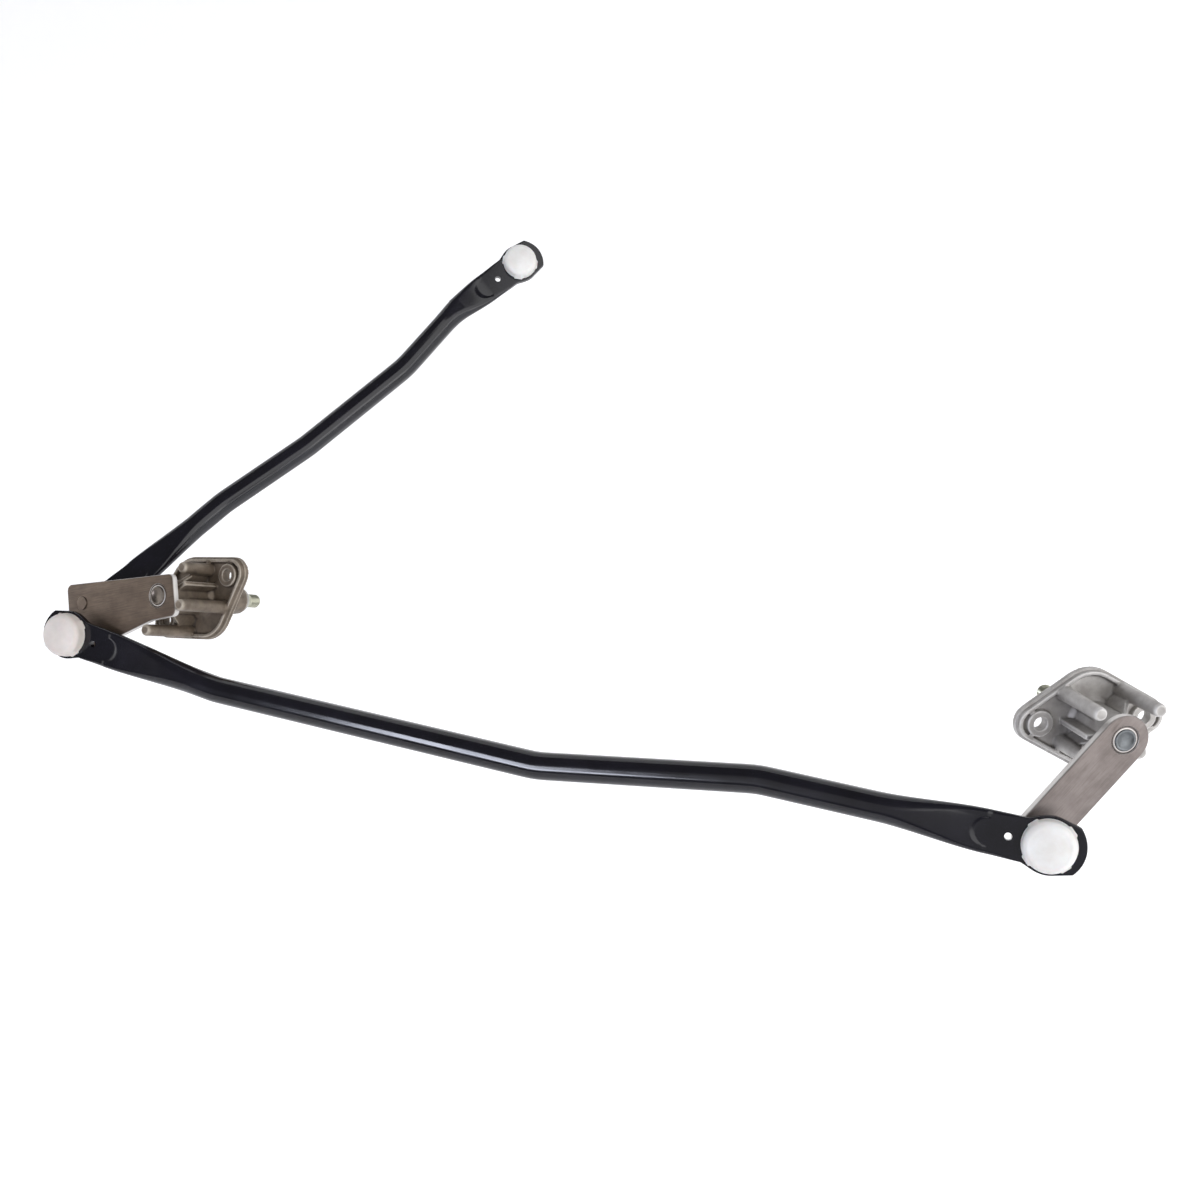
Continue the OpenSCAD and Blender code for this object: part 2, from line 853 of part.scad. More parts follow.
module rod(path, tube_d, twist, open_start, open_end, end) {
    color(paint_black) {
        tube(path, tube_d, twist, open_start, open_end, end);
        at_rod_start(path)
            rod_end(lever_end);
        at_rod_end(path, twist)
            rod_end(end);
    }
}

module left_pivot_casting() { on_left_pivot() casting(); }
module left_upper_bush() { on_left_pivot() upper_bush(); }
module left_lower_bush() { on_left_pivot() lower_bush(); }
module left_shaft_seal() { on_left_pivot() shaft_seal(); }
module left_thrust_washer() { on_left_pivot() thrust_washer(); }
module left_clip_washer() { on_left_pivot() clip_washer(); }
module left_retaining_clip() { on_left_lever() retaining_clip(); }
module left_spindle() { on_left_lever() spindle(); }
module left_lever() { on_left_lever() left_lever_plate(); }

module left_front_ball_stud() {
    on_left_lever()
        translate([left_lever_l, front_ball_y, lever_top])
            ball_stud(0);
}

module left_rear_ball_stud() {
    on_left_lever()
        translate([left_lever_l, rear_ball_y, lever_z])
            rotate([180, 0, 0])
                ball_stud(rivet_h);
}

module connecting_rod() {
    on_connecting_rod()
        rod(
            connecting_path, connecting_tube_d, 0,
            connecting_open_left, connecting_open_right, lever_end
        );
}

module connecting_left_socket() {
    on_connecting_rod()
        at_rod_start(connecting_path)
            socket(cap_d, seat_d);
}

module connecting_right_socket() {
    on_connecting_rod()
        at_rod_end(connecting_path, 0)
            socket(cap_d, seat_d);
}

module right_lever() { on_right_lever() right_lever_plate(); }

module right_ball_stud() {
    on_right_lever()
        translate([right_lever_l, 0, lever_top])
            ball_stud(0);
}

module right_spindle() { on_right_lever() spindle(); }
module right_retaining_clip() { on_right_lever() retaining_clip(); }
module right_thrust_washer() { on_right_pivot() thrust_washer(); }
module right_clip_washer() { on_right_pivot() clip_washer(); }
module right_pivot_casting() { on_right_pivot() casting(); }
module right_upper_bush() { on_right_pivot() upper_bush(); }
module right_lower_bush() { on_right_pivot() lower_bush(); }
module right_shaft_seal() { on_right_pivot() shaft_seal(); }

module drive_rod() {
    on_drive_rod()
        rod(
            drive_path, drive_tube_d, drive_twist,
            drive_open_lever, drive_open_motor, motor_end
        );
}

module drive_lever_socket() {
    on_drive_rod()
        at_rod_start(drive_path)
            rotate([180, 0, 0])
                socket(cap_d, seat_d);
}

module drive_motor_socket() {
    on_drive_rod()
        at_rod_end(drive_path, drive_twist)
            socket(motor_cap_d, motor_seat_d);
}

left_pivot_casting();
left_upper_bush();
left_lower_bush();
left_shaft_seal();
left_thrust_washer();
left_clip_washer();
left_retaining_clip();
left_spindle();
left_lever();
left_front_ball_stud();
left_rear_ball_stud();
connecting_rod();
connecting_left_socket();
connecting_right_socket();
right_lever();
right_ball_stud();
right_spindle();
right_thrust_washer();
right_clip_washer();
right_retaining_clip();
right_pivot_casting();
right_upper_bush();
right_lower_bush();
right_shaft_seal();
drive_rod();
drive_lever_socket();
drive_motor_socket();
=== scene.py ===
"""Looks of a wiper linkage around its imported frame.

Two die-cast pivots carry spindles with staked levers, and two painted tube rods hang on ball sockets between
them.
Sizes are millimetres in each piece's own frame; meshes are metres in the row frame.
"""

import logging
import math
from dataclasses import dataclass
from enum import Enum

import bmesh
import bpy
import numpy as np
from mathutils import Euler, Matrix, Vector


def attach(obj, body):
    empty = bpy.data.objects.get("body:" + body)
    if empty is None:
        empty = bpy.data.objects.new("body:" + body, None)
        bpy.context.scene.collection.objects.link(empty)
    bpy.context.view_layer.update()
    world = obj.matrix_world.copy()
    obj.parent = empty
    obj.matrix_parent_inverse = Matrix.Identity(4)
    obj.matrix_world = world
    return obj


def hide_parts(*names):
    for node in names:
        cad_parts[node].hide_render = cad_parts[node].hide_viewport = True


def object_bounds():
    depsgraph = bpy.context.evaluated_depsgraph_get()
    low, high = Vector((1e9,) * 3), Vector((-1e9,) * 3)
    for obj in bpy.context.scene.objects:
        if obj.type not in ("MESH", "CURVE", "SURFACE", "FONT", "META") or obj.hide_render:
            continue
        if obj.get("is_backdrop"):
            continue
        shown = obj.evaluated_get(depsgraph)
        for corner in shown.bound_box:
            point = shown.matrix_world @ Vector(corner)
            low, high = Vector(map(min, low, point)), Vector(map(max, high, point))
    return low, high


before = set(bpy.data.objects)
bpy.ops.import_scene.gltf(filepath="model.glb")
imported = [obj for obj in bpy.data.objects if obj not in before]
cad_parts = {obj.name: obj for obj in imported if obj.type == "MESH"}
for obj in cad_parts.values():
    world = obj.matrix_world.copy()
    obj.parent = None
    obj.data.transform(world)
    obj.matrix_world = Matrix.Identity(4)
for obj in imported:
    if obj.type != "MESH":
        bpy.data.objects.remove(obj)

Array = np.ndarray
Pair = tuple[float, float]
Triple = tuple[float, float, float]
Tree = bpy.types.NodeTree
Port = bpy.types.NodeSocket

MM = 0.001
# Sockets of Blender's Mix node when it mixes colours
MIX_A = 6
MIX_B = 7
MIX_RESULT = 2
LOG = logging.getLogger("wiper_linkage")


class Side(Enum):
    """The two ends of the linkage, as the camera sees them."""

    LEFT = "left"
    RIGHT = "right"


class RodEnd(Enum):
    """The two flattened ends of a rod."""

    FIRST = 0
    LAST = 1


class Facing(Enum):
    """Which way a socket or a ball stud faces, as a turn about the X axis of what carries it."""

    UP = 0.0
    DOWN = 180.0


class Mark(Enum):
    """Numbers that a mesh keeps per vertex for its finish."""

    RELIEF = "relief"
    # Where a lever's finish paints highlights and shade
    EDGE_LIGHT_AND_SHADE = "edge_light_and_shade"
    ALONG = "along"


def linear(colour: str) -> tuple[float, float, float, float]:
    """Turns an sRGB hex colour into linear RGBA.

    Args:
        colour: Six hex digits after a hash sign.

    Returns:
        Linear red, green, blue and an alpha of 1.
    """
    # The sRGB curve is a short straight foot and then a power
    srgb = [int(colour[i:i + 2], 16) / 255 for i in (1, 3, 5)]
    return tuple(c / 12.92 if c <= 0.04045 else ((c + 0.055) / 1.055) ** 2.4 for c in srgb) + (1.0,)


def per_metre(size_mm: float) -> float:
    """Texture scale at which one feature of a noise is about this many millimetres."""
    return 1 / (size_mm * MM)


def smoothstep(value: Array) -> Array:
    """Cubic ease from 0 to 1, flat at both ends, for values clipped to that range."""
    t = np.clip(value, 0, 1)
    return t * t * (3 - 2 * t)


def soft_max(a: Array, b: Array, blend: float) -> Array:
    """The larger of two arrays, with a parabolic fillet where they differ by less than blend."""
    near = np.clip(blend - np.abs(a - b), 0, None) / blend
    return np.maximum(a, b) + near * near * blend / 4


def turn_matrix(x: float, y: float, z: float) -> Array:
    """Rotation by degrees about X, then Y, then Z."""
    return np.array(Euler([math.radians(a) for a in (x, y, z)], "XYZ").to_matrix())


@dataclass(frozen=True)
class Place:
    """A piece's own frame, in millimetres of the row frame."""

    turn: Array
    origin: Array

    def points(self, local: Array) -> Array:
        """Local points of any grid shape, carried into the row frame."""
        return local @ self.turn.T + self.origin

    def moved(self, x: float, y: float, z: float) -> "Place":
        """The frame shifted along its own axes."""
        return Place(self.turn, self.points(np.array([x, y, z])))

    def turned(self, x: float, y: float, z: float) -> "Place":
        """The frame turned in place, by degrees about its own X, then Y, then Z."""
        return Place(self.turn @ turn_matrix(x, y, z), self.origin)

    def angles(self) -> Triple:
        """Euler angles of the frame, for a texture that follows it."""
        return tuple(Matrix(self.turn).to_euler("XYZ"))


@dataclass(frozen=True)
class Pose:
    """The turns that lay the linkage out, and the sizes that its pieces share."""

    left_pivot_turn: Triple = (-9.9, 21.6, -160.9)
    left_lever_turn: float = -20.4
    connecting_turn: Triple = (0, 11.9, 162)
    right_lever_turn: Triple = (-28.4, -6.9, -120.8)
    drive_turn: Triple = (0, 30, -137.1)
    lever_z: float = 30.9
    lever_t: float = 3.5
    ball_h: float = 10.5
    left_lever_l: float = 60.7
    front_ball_y: float = 13.8
    rear_ball_y: float = -4.7
    right_lever_l: float = 58.8
    connecting_l: float = 535.6
    drive_l: float = 331.9

    @property
    def lever_top(self) -> float:
        """Front face of a lever over its casting's mounting face."""
        return self.lever_z + self.lever_t

    def left_pivot(self) -> Place:
        """Frame of the left casting, whose mounting face is the row's origin."""
        return Place(turn_matrix(*self.left_pivot_turn), np.zeros(3))

    def left_lever(self) -> Place:
        """Frame of the left lever, X along it."""
        return self.left_pivot().turned(0, 0, self.left_lever_turn)

    def connecting_rod(self) -> Place:
        """Frame of the long rod, at the left lever's front ball."""
        ball = self.left_lever().moved(self.left_lever_l, self.front_ball_y, self.lever_top + self.ball_h)
        return ball.turned(*self.connecting_turn)

    def right_lever(self) -> Place:
        """Frame of the right lever, X along it."""
        ball = self.connecting_rod().moved(self.connecting_l, 0, 0).turned(*self.right_lever_turn)
        return ball.moved(-self.right_lever_l, 0, -self.lever_top - self.ball_h)

    def drive_rod(self) -> Place:
        """Frame of the short rod, at the left lever's rear ball."""
        ball = self.left_lever().moved(self.left_lever_l, self.rear_ball_y, self.lever_z - self.ball_h)
        return ball.turned(*self.drive_turn)


POSE = Pose()


def add_node(
    tree: Tree,
    kind: str,
    inputs: dict[str | int, object] | None = None,
    links: dict[str | int, Port] | None = None,
    **settings: object,
) -> bpy.types.Node:
    """Adds one node with its settings, input values and links.

    Args:
        tree: Node tree that gets the node.
        kind: Blender's name for the node type.
        inputs: Values for input sockets, by socket name or number.
        links: Output sockets to link from, by input socket name or number.
        settings: Attributes of the node.

    Returns:
        The new node.
    """
    node = tree.nodes.new(kind)
    for key, value in settings.items():
        setattr(node, key, value)
    for key, value in (inputs or {}).items():
        node.inputs[key].default_value = value
    for key, socket in (links or {}).items():
        tree.links.new(socket, node.inputs[key])
    return node


@dataclass(frozen=True)
class Ground:
    """What a finish's colour is mixed from: node tree, place on the piece, slow noise and fine noise."""

    tree: Tree
    place: Port
    patches: Port
    grain: Port


@dataclass(frozen=True)
class Finish:
    """A finish with a colour that wanders, a roughness that wanders and a fine relief.

    The grain is drawn coarser than real grit or brush marks, which would be too fine to show.
    """

    name: str
    base: str
    deep: str
    metallic: float
    rough: Pair
    patch_mm: float
    grain_mm: float
    grain_depth_mm: float
    angles: Triple = (0.0, 0.0, 0.0)
    stretch: Triple = (1.0, 1.0, 1.0)
    patch_octaves: float = 4.0
    patch_weight: float = 0.6
    grain_octaves: float = 3.0
    grain_weight: float = 0.55
    colour_span: Pair = (0.35, 0.65)
    rough_span: Pair = (0.3, 0.7)
    bump_strength: float = 0.6

    def material(self) -> bpy.types.Material:
        """Builds the procedural material.

        Returns:
            A new material with its nodes linked.
        """
        made = bpy.data.materials.new(self.name)
        made.use_nodes = True
        tree = made.node_tree
        tree.nodes.clear()
        place = add_node(tree, "ShaderNodeTexCoord").outputs["Object"]
        own = add_node(
            tree, "ShaderNodeMapping", {"Rotation": self.angles, "Scale": self.stretch}, {"Vector": place},
            vector_type="TEXTURE",
        )
        patches = add_node(
            tree, "ShaderNodeTexNoise",
            {"Scale": per_metre(self.patch_mm), "Detail": self.patch_octaves, "Roughness": self.patch_weight},
            {"Vector": place},
        )
        grain = add_node(
            tree, "ShaderNodeTexNoise",
            {"Scale": per_metre(self.grain_mm), "Detail": self.grain_octaves, "Roughness": self.grain_weight},
            {"Vector": own.outputs["Vector"]},
        )
        ground = Ground(tree, place, patches.outputs["Fac"], grain.outputs["Fac"])
        rough = add_node(
            tree, "ShaderNodeMapRange",
            {
                "From Min": self.rough_span[0], "From Max": self.rough_span[1],
                "To Min": self.rough[0], "To Max": self.rough[1],
            },
            {"Value": self.rough_source(ground)},
        )
        relief = add_node(
            tree, "ShaderNodeBump", {"Strength": self.bump_strength, "Distance": self.grain_depth_mm * MM},
            {"Height": ground.grain},
        )
        shader = add_node(
            tree, "ShaderNodeBsdfPrincipled", {"Metallic": self.metallic},
            {
                "Base Color": self.colour(ground), "Roughness": rough.outputs["Result"],
                "Normal": relief.outputs["Normal"],
            },
        )
        self.trim_shader(shader)
        add_node(tree, "ShaderNodeOutputMaterial", links={"Surface": shader.outputs["BSDF"]})
        return made

    def colour(self, ground: Ground) -> Port:
        """Mixes the two colours by the slow noise.

        Args:
            ground: What the colour is mixed from.

        Returns:
            The colour.
        """
        share = add_node(
            ground.tree, "ShaderNodeMapRange",
            {"From Min": self.colour_span[0], "From Max": self.colour_span[1]}, {"Value": ground.patches},
        )
        mixed = add_node(
            ground.tree, "ShaderNodeMix", {MIX_A: linear(self.base), MIX_B: linear(self.deep)},
            {"Factor": share.outputs["Result"]}, data_type="RGBA",
        )
        return mixed.outputs[MIX_RESULT]

    def rough_source(self, ground: Ground) -> Port:
        """The noise that the roughness follows."""
        return ground.patches

    def trim_shader(self, shader: bpy.types.Node) -> None:
        """Sets the constants that only some finishes have."""


@dataclass(frozen=True)
class PaintFinish(Finish):
    """Black dip paint on steel tube: near black with a violet cast, soft highlights and pale dust specks."""

    dust: str = "#5a5862"
    dust_mm: float = 0.9
    dust_octaves: float = 2.0
    dust_span: Pair = (0.7, 0.8)
    dust_share: float = 0.2
    shine: float = 0.5

    def colour(self, ground: Ground) -> Port:
        """Adds specks of dust to the wandering paint colour.

        Args:
            ground: What the colour is mixed from.

        Returns:
            The colour.
        """
        specks = add_node(
            ground.tree, "ShaderNodeTexNoise",
            {"Scale": per_metre(self.dust_mm), "Detail": self.dust_octaves}, {"Vector": ground.place},
        )
        share = add_node(
            ground.tree, "ShaderNodeMapRange",
            {"From Min": self.dust_span[0], "From Max": self.dust_span[1], "To Max": self.dust_share},
            {"Value": specks.outputs["Fac"]},
        )
        dusty = add_node(
            ground.tree, "ShaderNodeMix", {MIX_B: linear(self.dust)},
            {"Factor": share.outputs["Result"], MIX_A: super().colour(ground)}, data_type="RGBA",
        )
        return dusty.outputs[MIX_RESULT]

    def trim_shader(self, shader: bpy.types.Node) -> None:
        """Sets the mirror shine of the paint."""
        shader.inputs["Specular IOR Level"].default_value = self.shine


@dataclass(frozen=True, kw_only=True)
class CastFinish(Finish):
    """Die-cast aluminium: matte skin, painted shade in the hollows and painted highlights on the edges, by
    the relief mark.
    """

    # Painted shade: colour and share that darken the hollows
    hollow_shade: str
    hollow_shade_share: float
    # Painted highlight: colour and share that brighten the edges
    edge_highlight: str
    edge_highlight_share: float = 0.7
    hollow_span: Pair = (0.25, 0.9)
    edge_span: Pair = (-0.3, -0.85)

    def colour(self, ground: Ground) -> Port:
        """Paints shade into the hollows and highlights onto the edges of the cast skin.

        Args:
            ground: What the colour is mixed from.

        Returns:
            The colour.
        """
        relief = add_node(ground.tree, "ShaderNodeAttribute", attribute_name=Mark.RELIEF.value)
        hollow = add_node(
            ground.tree, "ShaderNodeMapRange",
            {"From Min": self.hollow_span[0], "From Max": self.hollow_span[1], "To Max": self.hollow_shade_share},
            {"Value": relief.outputs["Fac"]},
        )
        edge = add_node(
            ground.tree, "ShaderNodeMapRange",
            {"From Min": self.edge_span[0], "From Max": self.edge_span[1], "To Max": self.edge_highlight_share},
            {"Value": relief.outputs["Fac"]},
        )
        # Painted shade in the hollows, then a painted highlight on the edges
        shaded = add_node(
            ground.tree, "ShaderNodeMix", {MIX_B: linear(self.hollow_shade)},
            {"Factor": hollow.outputs["Result"], MIX_A: super().colour(ground)}, data_type="RGBA",
        )
        highlit = add_node(
            ground.tree, "ShaderNodeMix", {MIX_B: linear(self.edge_highlight)},
            {"Factor": edge.outputs["Result"], MIX_A: shaded.outputs[MIX_RESULT]}, data_type="RGBA",
        )
        return highlit.outputs[MIX_RESULT]


@dataclass(frozen=True, kw_only=True)
class BrushedFinish(Finish):
    """Zinc-plated steel plate: drawn along its length, so fine streaks break the shine, with faint stains.

    The edge mark is 1 on the cut walls, where a highlight is painted, and -1 in the stake groove, where shade
    is painted.
    """

    streak_share: float
    streak: str = "#453b34"
    streak_span: Pair = (0.45, 0.7)
    # Painted highlight on the cut walls, the stake bead and the ring's lip: its colour and share
    wall_highlight: str = "#e4e1de"
    wall_highlight_share: float = 0.85
    # Painted shade in the stake groove: its colour and share
    groove: str = "#2f2a27"
    groove_shade_share: float = 0.8

    def colour(self, ground: Ground) -> Port:
        """Streaks the stained plate, paints a highlight on its cut walls and paints shade into its stake
        groove.

        Args:
            ground: What the colour is mixed from.

        Returns:
            The colour.
        """
        drawn = add_node(
            ground.tree, "ShaderNodeMapRange",
            {"From Min": self.streak_span[0], "From Max": self.streak_span[1], "To Max": self.streak_share},
            {"Value": ground.grain},
        )
        plate = add_node(
            ground.tree, "ShaderNodeMix", {MIX_B: linear(self.streak)},
            {"Factor": drawn.outputs["Result"], MIX_A: super().colour(ground)}, data_type="RGBA",
        )
        # The mark: a painted highlight where it is 1, painted shade where it is -1
        cut = add_node(ground.tree, "ShaderNodeAttribute", attribute_name=Mark.EDGE_LIGHT_AND_SHADE.value)
        wall_lit = add_node(
            ground.tree, "ShaderNodeMapRange", {"From Max": 1.0, "To Max": self.wall_highlight_share},
            {"Value": cut.outputs["Fac"]},
        )
        groove_shaded = add_node(
            ground.tree, "ShaderNodeMapRange", {"From Max": -1.0, "To Max": self.groove_shade_share},
            {"Value": cut.outputs["Fac"]},
        )
        walls = add_node(
            ground.tree, "ShaderNodeMix", {MIX_B: linear(self.wall_highlight)},
            {"Factor": wall_lit.outputs["Result"], MIX_A: plate.outputs[MIX_RESULT]}, data_type="RGBA",
        )
        both = add_node(
            ground.tree, "ShaderNodeMix", {MIX_B: linear(self.groove)},
            {"Factor": groove_shaded.outputs["Result"], MIX_A: walls.outputs[MIX_RESULT]}, data_type="RGBA",
        )
        return both.outputs[MIX_RESULT]

    def rough_source(self, ground: Ground) -> Port:
        """Lets the roughness follow the drawn streaks."""
        return ground.grain


@dataclass(frozen=True)
class PlasticFinish(Finish):
    """Moulded white acetal: milky and satin, with a faint cloudiness and a skin that is almost smooth."""

    milk: float = 0.12
    milk_depth_mm: float = 1.2

    def trim_shader(self, shader: bpy.types.Node) -> None:
        """Lets a little light through the skin."""
        shader.inputs["Subsurface Weight"].default_value = self.milk
        shader.inputs["Subsurface Scale"].default_value = self.milk_depth_mm * MM


@dataclass(frozen=True)
class SpindleFinish(Finish):
    """Turned steel spindle: grey staked head and passivated yellow arm end, by the mark along the axis."""

    arm_end: str = "#b0b09f"
    fade_mm: Pair = (-10.0, 10.0)

    def colour(self, ground: Ground) -> Port:
        """Fades from the passivated arm end to the bare head.

        Args:
            ground: What the colour is mixed from.

        Returns:
            The colour.
        """
        along = add_node(ground.tree, "ShaderNodeAttribute", attribute_name=Mark.ALONG.value)
        fade = add_node(
            ground.tree, "ShaderNodeMapRange", {"From Min": self.fade_mm[0], "From Max": self.fade_mm[1]},
            {"Value": along.outputs["Fac"]},
        )
        mixed = add_node(
            ground.tree, "ShaderNodeMix", {MIX_A: linear(self.arm_end)},
            {"Factor": fade.outputs["Result"], MIX_B: super().colour(ground)}, data_type="RGBA",
        )
        return mixed.outputs[MIX_RESULT]


def ring_quads(count: int, around: int) -> tuple[Array, Array]:
    """Numbers the points of closed rings and joins each ring to the next.

    Args:
        count: Number of rings.
        around: Points of one ring.

    Returns:
        Point numbers, rings by points, and the corner numbers of the quads between the rings.
    """
    index = np.arange(count * around).reshape(count, around)
    turned = np.roll(index, -1, axis=1)
    quads = np.stack([index[:-1], turned[:-1], turned[1:], index[1:]], axis=-1).reshape(-1, 4)
    return index, quads


def closed_skin(name: str, rings: Array, first: Array, last: Array) -> bpy.types.Object:
    """Joins closed rings of points into one closed mesh with a pole at each end.

    Args:
        name: Name of the new object.
        rings: Points in millimetres, rings by points by three.
        first: Pole before the first ring.
        last: Pole after the last ring.

    Returns:
        The object, at the origin, with outward faces.
    """
    count, around = rings.shape[:2]
    index, quads = ring_quads(count, around)
    low, high = count * around, count * around + 1
    start = np.stack([np.full(around, low), np.roll(index[0], -1), index[0]], axis=-1)
    end = np.stack([np.full(around, high), index[-1], np.roll(index[-1], -1)], axis=-1)
    points = np.concatenate([rings.reshape(-1, 3), first[None], last[None]])
    return solid(name, points, quads.tolist() + start.tolist() + end.tolist())


def solid(name: str, points: Array, faces: list[list[int]]) -> bpy.types.Object:
    """Makes a mesh object from points in millimetres and turns its faces outwards.

    Args:
        name: Name of the new object.
        points: Points in the row frame.
        faces: Corner numbers of each face.

    Returns:
        The object, linked to the scene.
    """
    mesh = bpy.data.meshes.new(name)
    mesh.from_pydata(points * MM, [], faces)
    shell = bmesh.new()
    shell.from_mesh(mesh)
    bmesh.ops.recalc_face_normals(shell, faces=shell.faces)
    shell.to_mesh(mesh)
    shell.free()
    made = bpy.data.objects.new(name, mesh)
    bpy.context.scene.collection.objects.link(made)
    return made


def settle(piece: bpy.types.Object) -> None:
    """Applies a piece's modifiers to its mesh.

    Args:
        piece: The piece, which loses its modifiers.
    """
    bpy.context.view_layer.update()
    shown = piece.evaluated_get(bpy.context.evaluated_depsgraph_get())
    mesh = bpy.data.meshes.new_from_object(shown)
    piece.modifiers.clear()
    piece.data = mesh


def carve(piece: bpy.types.Object, cutters: list[bpy.types.Object]) -> None:
    """Cuts closed shapes out of a piece and removes the cutters.

    Args:
        piece: The piece to cut.
        cutters: Closed meshes.
    """
    for cutter in cutters:
        cut = piece.modifiers.new("cut", "BOOLEAN")
        cut.operation = "DIFFERENCE"
        cut.solver = "EXACT"
        cut.object = cutter
    settle(piece)
    for cutter in cutters:
        bpy.data.objects.remove(cutter)


def revolve(
    name: str, profile: Array, place: Place, around: int, swell: Array | None = None
) -> bpy.types.Object:
    """Turns a profile about the local Z axis: x = r cos a, y = r sin a, with r scaled by swell.

    Args:
        name: Name of the new object.
        profile: Radius and height in millimetres, from pole to pole; both ends lie on the axis.
        place: The piece's frame.
        around: Points round the axis.
        swell: Factor on the radius, profile points by points round the axis, or None for a plain turning.

    Returns:
        The closed object.
    """
    angle = 2 * np.pi * np.arange(around) / around
    radius = profile[1:-1, :1] * np.ones(around)
    if swell is not None:
        radius = radius * swell[1:-1]
    height = profile[1:-1, 1:] * np.ones(around)
    rings = np.stack([radius * np.cos(angle), radius * np.sin(angle), height], axis=-1)
    poles = place.points(np.stack([np.zeros(2), np.zeros(2), profile[[0, -1], 1]], axis=-1))
    return closed_skin(name, place.points(rings), poles[0], poles[1])


def arc(centre: Pair, radius: float, start: float, stop: float, steps: int) -> Array:
    """Points of an arc in degrees round a centre, both ends included."""
    angle = np.radians(np.linspace(start, stop, steps))
    return np.stack([centre[0] + radius * np.cos(angle), centre[1] + radius * np.sin(angle)], axis=-1)


def dense(profile: Array, gap: float) -> Array:
    """Adds points to the straight stretches of a profile, evenly along each stretch.

    Args:
        profile: Radius and height of the corners.
        gap: About the widest distance between two points.

    Returns:
        The filled profile.
    """
    legs = np.linalg.norm(np.diff(profile, axis=0), axis=1)
    steps = np.maximum(1, np.ceil(legs / gap)).astype(int)
    share = np.concatenate([np.arange(n) / n for n in steps])
    leg = np.repeat(np.arange(len(steps)), steps)
    filled = profile[leg] + share[:, None] * (profile[leg + 1] - profile[leg])
    return np.concatenate([filled, profile[-1:]])


def shade(piece: bpy.types.Object, crease_deg: float) -> None:
    """Shades a piece smooth, with sharp edges where faces meet at more than an angle."""
    piece.data.polygons.foreach_set("use_smooth", np.ones(len(piece.data.polygons), bool))
    piece.data.set_sharp_from_angle(angle=math.radians(crease_deg))


def dress(piece: bpy.types.Object, material: bpy.types.Material, node: str, body: str) -> None:
    """Gives a piece its material and its place in the frame.

    Args:
        piece: Finished mesh object.
        material: Its finish.
        node: CAD node that it stands for.
        body: CAD body that it rides on.
    """
    piece.data.materials.clear()
    piece.data.materials.append(material)
    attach(piece, body)
    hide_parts(node)
    LOG.info("%s rides on %s with %d faces", piece.name, body, len(piece.data.polygons))


def measure(piece: bpy.types.Object, mark: Mark, values: Array) -> None:
    """Stores one number per vertex under a mark that a finish reads."""
    kept = piece.data.attributes.new(mark.value, "FLOAT", "POINT")
    kept.data.foreach_set("value", values.astype(np.float32))


def vertices(mesh: bpy.types.Mesh) -> Array:
    """Reads the vertex positions of a mesh.

    Args:
        mesh: The mesh, in metres.

    Returns:
        Positions in millimetres, vertices by three.
    """
    flat = np.zeros(len(mesh.vertices) * 3)
    mesh.vertices.foreach_get("co", flat)
    return flat.reshape(-1, 3) / MM


@dataclass(frozen=True)
class EndSizes:
    """Sizes of a flattened rod end, by default one that sits on a lever."""

    flat_t: float = 3.6
    flat_w: float = 20.6
    flat_l: float = 26
    tip_r: float = 16.2
    tip_half_angle: float = 42
    eye_r: float = 13.6
    eye_fillet: float = 3.0
    edge_r: float = 0.5
    seat_d: float = 21
    pilot_d: float = 3.5
    pilot_x: float = 18
    fold_start: float = 12
    tongue_l: float = 34
    tongue_r: float = 6.5
    tongue_lip: float = 0.3
    tongue_slope: float = 3
    tongue_fade: float = 26

    def half_width(self, along: Array) -> Array:
        """Half width of the eye at a distance along the rod from the ball.

        The outline is a tip arc, a tangent line from its corner to the eye's circle, and that circle.

        Args:
            along: Distance from the ball, negative towards the tip.

        Returns:
            Half width, 0 past the eye.
        """
        half = math.radians(self.tip_half_angle)
        grip = half + math.acos(self.eye_r / self.tip_r)
        corner = np.array([-self.tip_r * math.cos(half), self.tip_r * math.sin(half)])
        touch = np.array([-self.eye_r * math.cos(grip), self.eye_r * math.sin(grip)])
        tip = np.sqrt(np.clip(self.tip_r**2 - along**2, 0, None))
        tangent = corner[1] + (along - corner[0]) * (touch[1] - corner[1]) / (touch[0] - corner[0])
        eye = np.sqrt(np.clip(self.eye_r**2 - along**2, 0, None))
        return np.select([along < corner[0], along < touch[0]], [tip, tangent], eye)


LEVER_END = EndSizes()
MOTOR_END = EndSizes(flat_w=18.6, tip_r=15.2, eye_r=11.8, seat_d=18.2)


